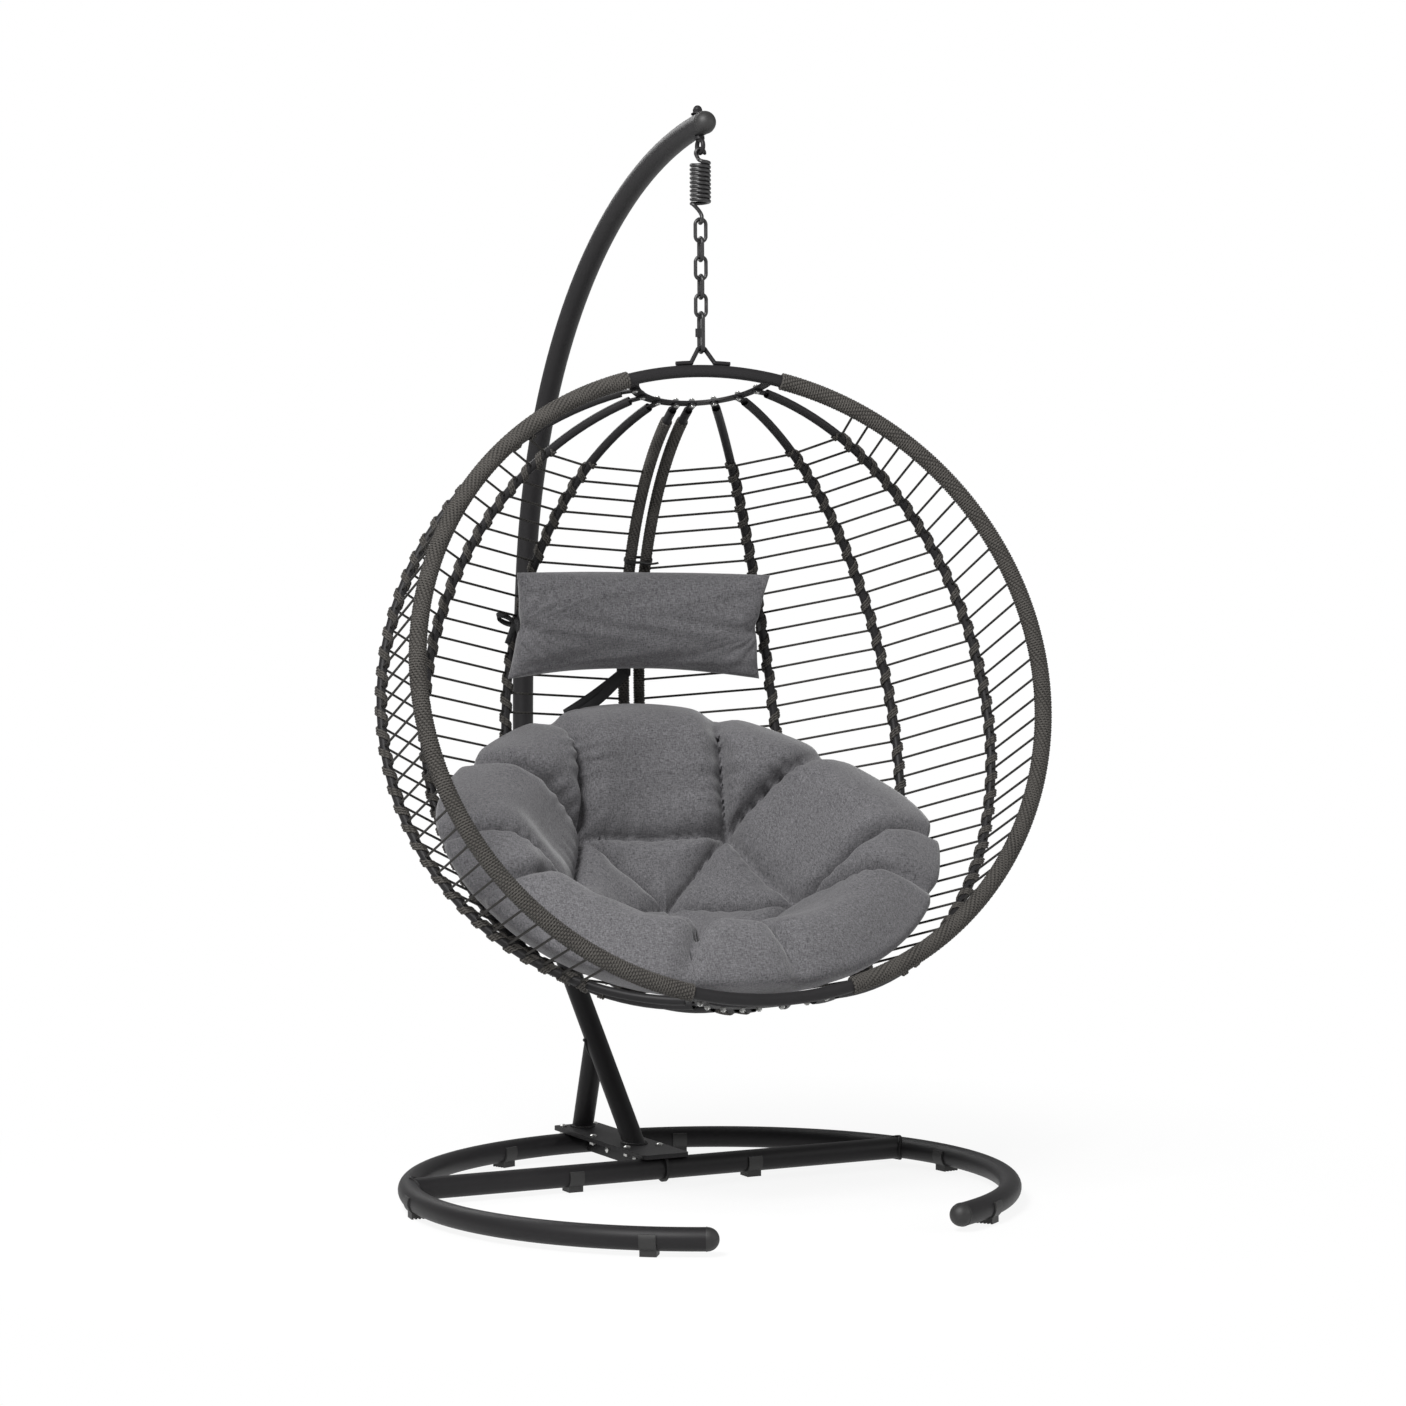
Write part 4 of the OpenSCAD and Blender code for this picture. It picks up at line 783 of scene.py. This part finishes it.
def seam_gap(p):
    """Least distance in the flat pattern from points to any seam, and how far along it they lie."""
    best, along_seam = np.full(p.shape[:-1], 9.0), np.zeros(p.shape[:-1])
    for number, (a, b) in enumerate(seams):
        run = b - a
        t = np.clip(((p - a) @ run) / (run @ run), 0, 1)
        gap = np.linalg.norm(p - a - t[..., None] * run, axis=-1)
        along_seam = np.where(gap < best, t * np.linalg.norm(run) + 1.7 * number, along_seam)
        best = np.minimum(best, gap)
    return best, along_seam


def seat_height(p):
    """Thickness of the filling: a full outer roll that rises like a quarter circle from each seam,
    pitted at the tufts, with short puckers that cross the seams and die away from them, and
    slow creases that are products of two sines."""
    far = np.minimum(np.linalg.norm(p, axis=-1), 1)
    full = seat_thick * (0.6 + far**2) * np.sqrt(1 - far**6)
    gap, along_seam = seam_gap(p)
    spots = np.concatenate([tufts, middle_tuft[None]])
    pit = np.linalg.norm(p[..., None, :] - spots, axis=-1).min(-1)
    puff_reach, valley, stitch = 0.19 - 0.09 * far, 0.38 - 0.08 * far, 0.10 + 0.10 * far
    puff = np.sqrt(1 - (1 - np.clip(gap / puff_reach, 0, 1)) ** 2)
    furrow = valley * (1 - puff) + stitch * np.exp(-gap / stitch_reach)
    furrow += pit_depth * np.exp(-((pit / pit_reach) ** 2))
    wave = np.sin(2 * np.pi * along_seam / pucker_pitch + 2.5 * np.sin(13 * along_seam))
    pucker = (0.0025 + 0.0085 * far**3) * np.exp(-gap / pucker_reach) * wave
    x, y = p[..., 0], p[..., 1]
    crease = crease_depth * np.sin(9 * x + 4 * np.sin(5 * y)) * np.sin(8 * y + 1)
    off_edge, off_seam = np.clip((1 - far) * 9, 0, 1), np.clip(gap / 0.02, 0, 1)
    return full * (1 - furrow) + (pucker + crease) * off_edge * off_seam


low_far = np.array([0.02, 0.15, 0.3, 0.45, 0.6, 0.72, 0.83, 0.91, 0.96, 0.985])
high_far = np.concatenate([[0.995, 0.98, 0.96, 0.94], np.linspace(0.92, 0.02, 72)])
around = np.linspace(0, 2 * np.pi, seat_cols, endpoint=False)
circle = np.stack([np.cos(around), np.sin(around)], -1)
low_rows = low_far[:, None, None] * circle
high_rows = high_far[:, None, None] * circle
low_height = edge_swell * np.broadcast_to(low_far[:, None] ** 12, (len(low_far), seat_cols))
high_height = np.maximum(seat_height(high_rows), edge_swell * high_far[:, None] ** 12 + least_thick)
pattern = np.concatenate([low_rows, circle[None], high_rows])
far = np.linalg.norm(pattern, axis=-1)
drawn_in = edge_draw * np.exp(-((seam_gap(circle)[0] / draw_reach) ** 2))
pattern *= (1 - drawn_in * np.clip((far - draw_from) / draw_run, 0, 1) ** 2)[..., None]
height = np.concatenate([low_height, np.full((1, seat_cols), edge_top), high_height])
way = seat_way(pattern)
seat_points = way * (wall_reach(way, rib_bend - seat_room) - height)[..., None]

melange, shade, shader = start_material("grey_melange_cloth")
place = shade.make("ShaderNodeTexCoord", out="Object")


def threads(stretch):
    """Noise drawn out along one axis, as threads that run that way; stretch in grains a metre."""
    drawn_out = shade.make("ShaderNodeMapping", {"Vector": place, "Scale": stretch})
    return shade.make(
        "ShaderNodeTexNoise", {"Vector": drawn_out, "Scale": 1.0, "Detail": 2.0, "Roughness": 0.6}
    )


warp = threads((110, 620, 620))
weft = threads((620, 170, 170))
fleck = grained(shade, 300, 3.0)
bloom = grained(shade, 22, 3.0)
cloth_tone = (warp + weft + fleck * 0.6 + bloom * 0.12 - 0.92).clamped()
finish_shader(
    shade, shader, colour=cloth_tone.between((0.036, 0.035, 0.038), (0.208, 0.204, 0.214)),
    roughness=fleck * 0.1 + 0.82, height=warp * 0.5 + weft * 0.5, depth=0.0007,
    Specular_IOR_Level=0.2, Sheen_Weight=0.25, Sheen_Roughness=0.5,
)
seat_faces = lattice(len(pattern), seat_cols) + caps(len(pattern), seat_cols)
seat = shown(
    "tufted_seat_cushion", basket_place(seat_points), [f[::-1] for f in seat_faces], melange,
    "basket",
)
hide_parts("seat_cushion")

# Head pillow
# A small oblong cover of the same cloth, filled, with pointed corners and drawn-in
# sides; the tapes pinch the middle of each end and tie it to the rib beside it.
pillow_w, pillow_h, pillow_t, pillow_curl = 0.495, 0.200, 0.110, 0.046
pillow_rise, pillow_aside, pillow_gap = 0.295, math.radians(-3), 0.007
pillow_lean = math.asin(pillow_rise / rib_bend)
pillow_in = centre_wrap_radius + pillow_t / 2 + pillow_gap
pinch_in, pinch_high, pinch_depth, pinch_draw = 0.10, 0.16, 0.45, 0.015
fold_depth, fold_count, fold_start, fold_reach = 0.0035, 26, 1.06, 0.22
crown_power, slack_depth, end_draw, side_draw = 0.40, 0.0028, 0.055, 0.10
u_steps, v_steps = 121, 71


def pillow_place(points):
    """Pillow coordinates, with their origin at its middle, to the basket's."""
    c, s = math.cos(pillow_lean), math.sin(pillow_lean)
    x, y, z = np.moveaxis(np.asarray(points, float), -1, 0)
    home_y, home_z = rib_offset + (rib_bend - pillow_in) * c, (rib_bend - pillow_in) * s
    y, z = home_y + y * c - z * s, home_z + y * s + z * c
    c, s = math.cos(-pillow_aside), math.sin(-pillow_aside)
    return np.stack([x * c - y * s, x * s + y * c, z], -1)


def eased(count):
    """Steps from -1 to 1 that close up towards both ends, as the sine of even angles."""
    return np.sin(np.linspace(-np.pi / 2, np.pi / 2, count))


u, v = np.meshgrid(eased(u_steps), eased(v_steps), indexing="ij")
pinch = np.exp(-(((1 - np.abs(u)) / pinch_in) ** 2) - (v / pinch_high) ** 2)
crown = np.maximum((1 - u**2) * (1 - v**2), 0) ** crown_power * (1 - pinch_depth * pinch)
from_end = fold_start - np.abs(u)
fold = fold_depth * np.sin(fold_count * np.arctan2(v, from_end)) * np.exp(-(from_end / fold_reach))
slack = slack_depth * np.sin(7 * u + 3 * np.sin(4 * v)) * np.sin(6 * v + 1.3) + fold
swell = crown * pillow_t / 2 + slack * np.clip(crown * 2, 0, 1)
x = u * (1 - end_draw * (1 - v**2) - pinch_draw * pinch) * pillow_w / 2
z = v * (1 - side_draw * (1 - u**2)) * pillow_h / 2
bend = -pillow_curl * (2 * x / pillow_w) ** 2
front = np.stack([x, bend - swell, z], -1)
rear = np.stack([x, bend + np.minimum(swell, pillow_t / 2 * 0.98), z], -1)
front_faces = lattice(u_steps, v_steps, 0, around=False)
rear_faces = [f[::-1] for f in lattice(u_steps, v_steps, u_steps * v_steps, around=False)]
cover = np.concatenate([front.reshape(-1, 3), rear.reshape(-1, 3)])
pillow = shown(
    "head_pillow_cover", basket_place(pillow_place(cover)), front_faces + rear_faces, melange,
    "basket",
)
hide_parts("head_pillow")

# Tapes
# Flat woven tapes: one at each end of the pillow, tied round a rib, the left one in a bow,
# and a pair of straps that tie the seat cushion's rear edge to a centre rib.
woven_tape, shade, shader = start_material("dark_woven_tape")
ribbed = grained(shade, 900, 3.0)
soft_spot = grained(shade, 40, 3.0)
finish_shader(
    shade, shader,
    colour=(ribbed * 0.7 + soft_spot * 0.3).between((0.012, 0.012, 0.0125), (0.05, 0.05, 0.052)),
    roughness=ribbed * 0.15 + 0.72, height=ribbed, depth=0.0005, Specular_IOR_Level=0.2,
)
tape_width, tape_thick = 0.020, 0.002
tie_width, bow_width = tape_width * 0.8, tape_width * 0.6
tie_angle, tie_sag = np.radians(27.79), 0.004
tie_reach, tie_back = 0.945 * pillow_w / 2 + 0.001, -pillow_curl * 0.89
strap_angle, strap_seam_angle, strap_far = np.radians(20.38), math.radians(104), 0.985
upright = (0.0, 0.0, 1.0)


def tape(path, wide, width=tape_width, thickness=tape_thick, closed=False):
    """Flat strip along a path, its width along the given directions, as rings of eight points."""
    path, wide = np.asarray(path, float), np.broadcast_to(np.asarray(wide, float), np.shape(path))
    step = np.roll(path, -1, 0) - np.roll(path, 1, 0) if closed else np.gradient(path, axis=0)
    step = step / np.linalg.norm(step, axis=1, keepdims=True)
    wide = wide - (wide * step).sum(1, keepdims=True) * step
    wide = wide / np.linalg.norm(wide, axis=1, keepdims=True)
    thick = np.cross(step, wide)
    w = np.array([0.5, 0.46, -0.46, -0.5, -0.5, -0.46, 0.46, 0.5]) * width
    t = np.array([0.2, 0.5, 0.5, 0.2, -0.2, -0.5, -0.5, -0.2]) * thickness
    rings = path[:, None] + w[:, None] * wide[:, None] + t[:, None] * thick[:, None]
    faces = closed_lattice(len(path), 8) if closed else lattice(len(path), 8) + caps(len(path), 8)
    return rings.reshape(-1, 3), faces


def joined(strips):
    """Points and faces of several strips as one mesh."""
    points, faces, start = [], [], 0
    for strip_points, strip_faces in strips:
        points.append(strip_points)
        faces += [[k + start for k in face] for face in strip_faces]
        start += len(strip_points)
    return np.concatenate(points), faces


def rib_hoop(centre, rib_way, radius):
    """Tape once round a rib of the given radius, its width along the rib."""
    turn = np.linspace(0, 2 * np.pi, 40, endpoint=False)[:, None]
    first = np.cross(rib_way, upright)
    first = first / np.linalg.norm(first)
    second = np.cross(rib_way, first)
    path = centre + (radius + tape_thick * 0.6) * (np.cos(turn) * first + np.sin(turn) * second)
    return tape(path, rib_way, closed=True)


ties = []
for side in (-1, 1):
    rib_at = rib_point(side * rib_angles[2], tie_angle)
    rib_way = np.array([
        -math.sin(tie_angle) * math.sin(side * rib_angles[2]),
        -math.sin(tie_angle) * math.cos(rib_angles[2]),
        math.cos(tie_angle),
    ])
    ties.append(rib_hoop(rib_at, rib_way, rib_radius))
    end = pillow_place((side * tie_reach, tie_back, 0.0))
    t = np.linspace(0, 1, 14)[:, None]
    way = (end - rib_at) / np.linalg.norm(end - rib_at)
    run = rib_at + (rib_radius + tape_thick) * way
    run = run + t * (end - run) + np.sin(np.pi * t) * (0.0, 0.0, -tie_sag)
    ties.append(tape(run, upright, width=tie_width))
bow_at = rib_point(-rib_angles[2], tie_angle) + (-0.006, -0.013, 0.0)
for reach_out, rise in ((-0.030, 0.014), (0.020, -0.012)):
    t = np.linspace(0, 2 * np.pi, 28)[:-1, None]
    opening = (1 - np.cos(t)) / 2
    ear = [reach_out * opening - 0.004, -0.004 - 0.006 * np.sin(t), rise * opening + 0.004 * np.sin(t)]
    ties.append(tape(bow_at + np.concatenate(ear, 1), (0.0, 0.35, 1.0), width=bow_width))
for sway, drop in ((-0.020, -0.040), (0.006, -0.048)):
    t = np.linspace(0, 1, 12)[:, None]
    tail = [sway * t, -0.004 - 0.006 * np.sin(3 * t), drop * t**1.3]
    ties.append(tape(bow_at + np.concatenate(tail, 1), (1.0, 0.3, 0.0), width=bow_width))
points, faces = joined(ties)
tie_piece = shown("pillow_tie_tapes", basket_place(points), faces, woven_tape, "basket")
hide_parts("pillow_ties")

strap_at = centre_point(strap_angle) * (-1, 1, 1)
strap_way = np.array([0.0, -math.sin(strap_angle), math.cos(strap_angle)])
inward = np.array([0.0, -math.cos(strap_angle), -math.sin(strap_angle)])
edge_way = seat_way(strap_far * np.array([math.cos(strap_seam_angle), math.sin(strap_seam_angle)]))
strap_end = edge_way * (wall_reach(edge_way, rib_bend - seat_room) - edge_top)
straps = [rib_hoop(strap_at, strap_way, centre_wrap_radius)]
for shift, slack_dip in ((0.0, 0.003), (0.026, 0.006)):
    t = np.linspace(0, 1, 20)[:, None]
    start = strap_at + (centre_wrap_radius + tape_thick) * inward
    finish = strap_end + (shift, 0.004, 0.002)
    run = start + t * (finish - start) + np.sin(np.pi * t) * (0.0, slack_dip, -slack_dip)
    straps.append(tape(run, (0.55, 0.0, 0.83)))
points, faces = joined(straps)
strap_piece = shown("seat_strap_tape", basket_place(points), faces, woven_tape, "basket")
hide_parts("seat_strap")

# Cable tie ends
# Each nylon tie round the two centre ribs has a moulded lock on the inner side,
# and a cut-off tail that stands out of it towards the sitter.
lock_size, lock_thick, lock_lift, lock_aside = 0.0065, 0.005, 0.0035, 0.004
tail_length, tail_width, tail_thick, tail_curl = 0.034, 0.0042, 0.0012, 0.008
across_ribs = np.array([1.0, 0, 0])
tie_ends = []
for tie_height in np.radians([42.62, 9.26, -31.5]):
    inward = np.array([0.0, -math.cos(tie_height), -math.sin(tie_height)])
    upward = np.array([0.0, -math.sin(tie_height), math.cos(tie_height)])
    lock_at = centre_point(tie_height) * (0, 1, 1) + inward * (centre_wrap_radius + lock_lift)
    lock_at = lock_at + (lock_aside, 0, 0)
    t = np.linspace(-0.5, 0.5, 5)[:, None]
    tie_ends.append(tape(lock_at + t * lock_size * across_ribs, upward, lock_size, lock_thick))
    t = np.linspace(0, 1, 12)[:, None]
    sprung = t * tail_length * (0.75 * across_ribs + 0.5 * inward) + t**2 * tail_curl * upward
    tie_ends.append(tape(lock_at + sprung, upward, tail_width, tail_thick))
points, faces = joined(tie_ends)
shown("cable_tie_ends", basket_place(points), faces, moulded_plastic, "basket")

low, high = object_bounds()
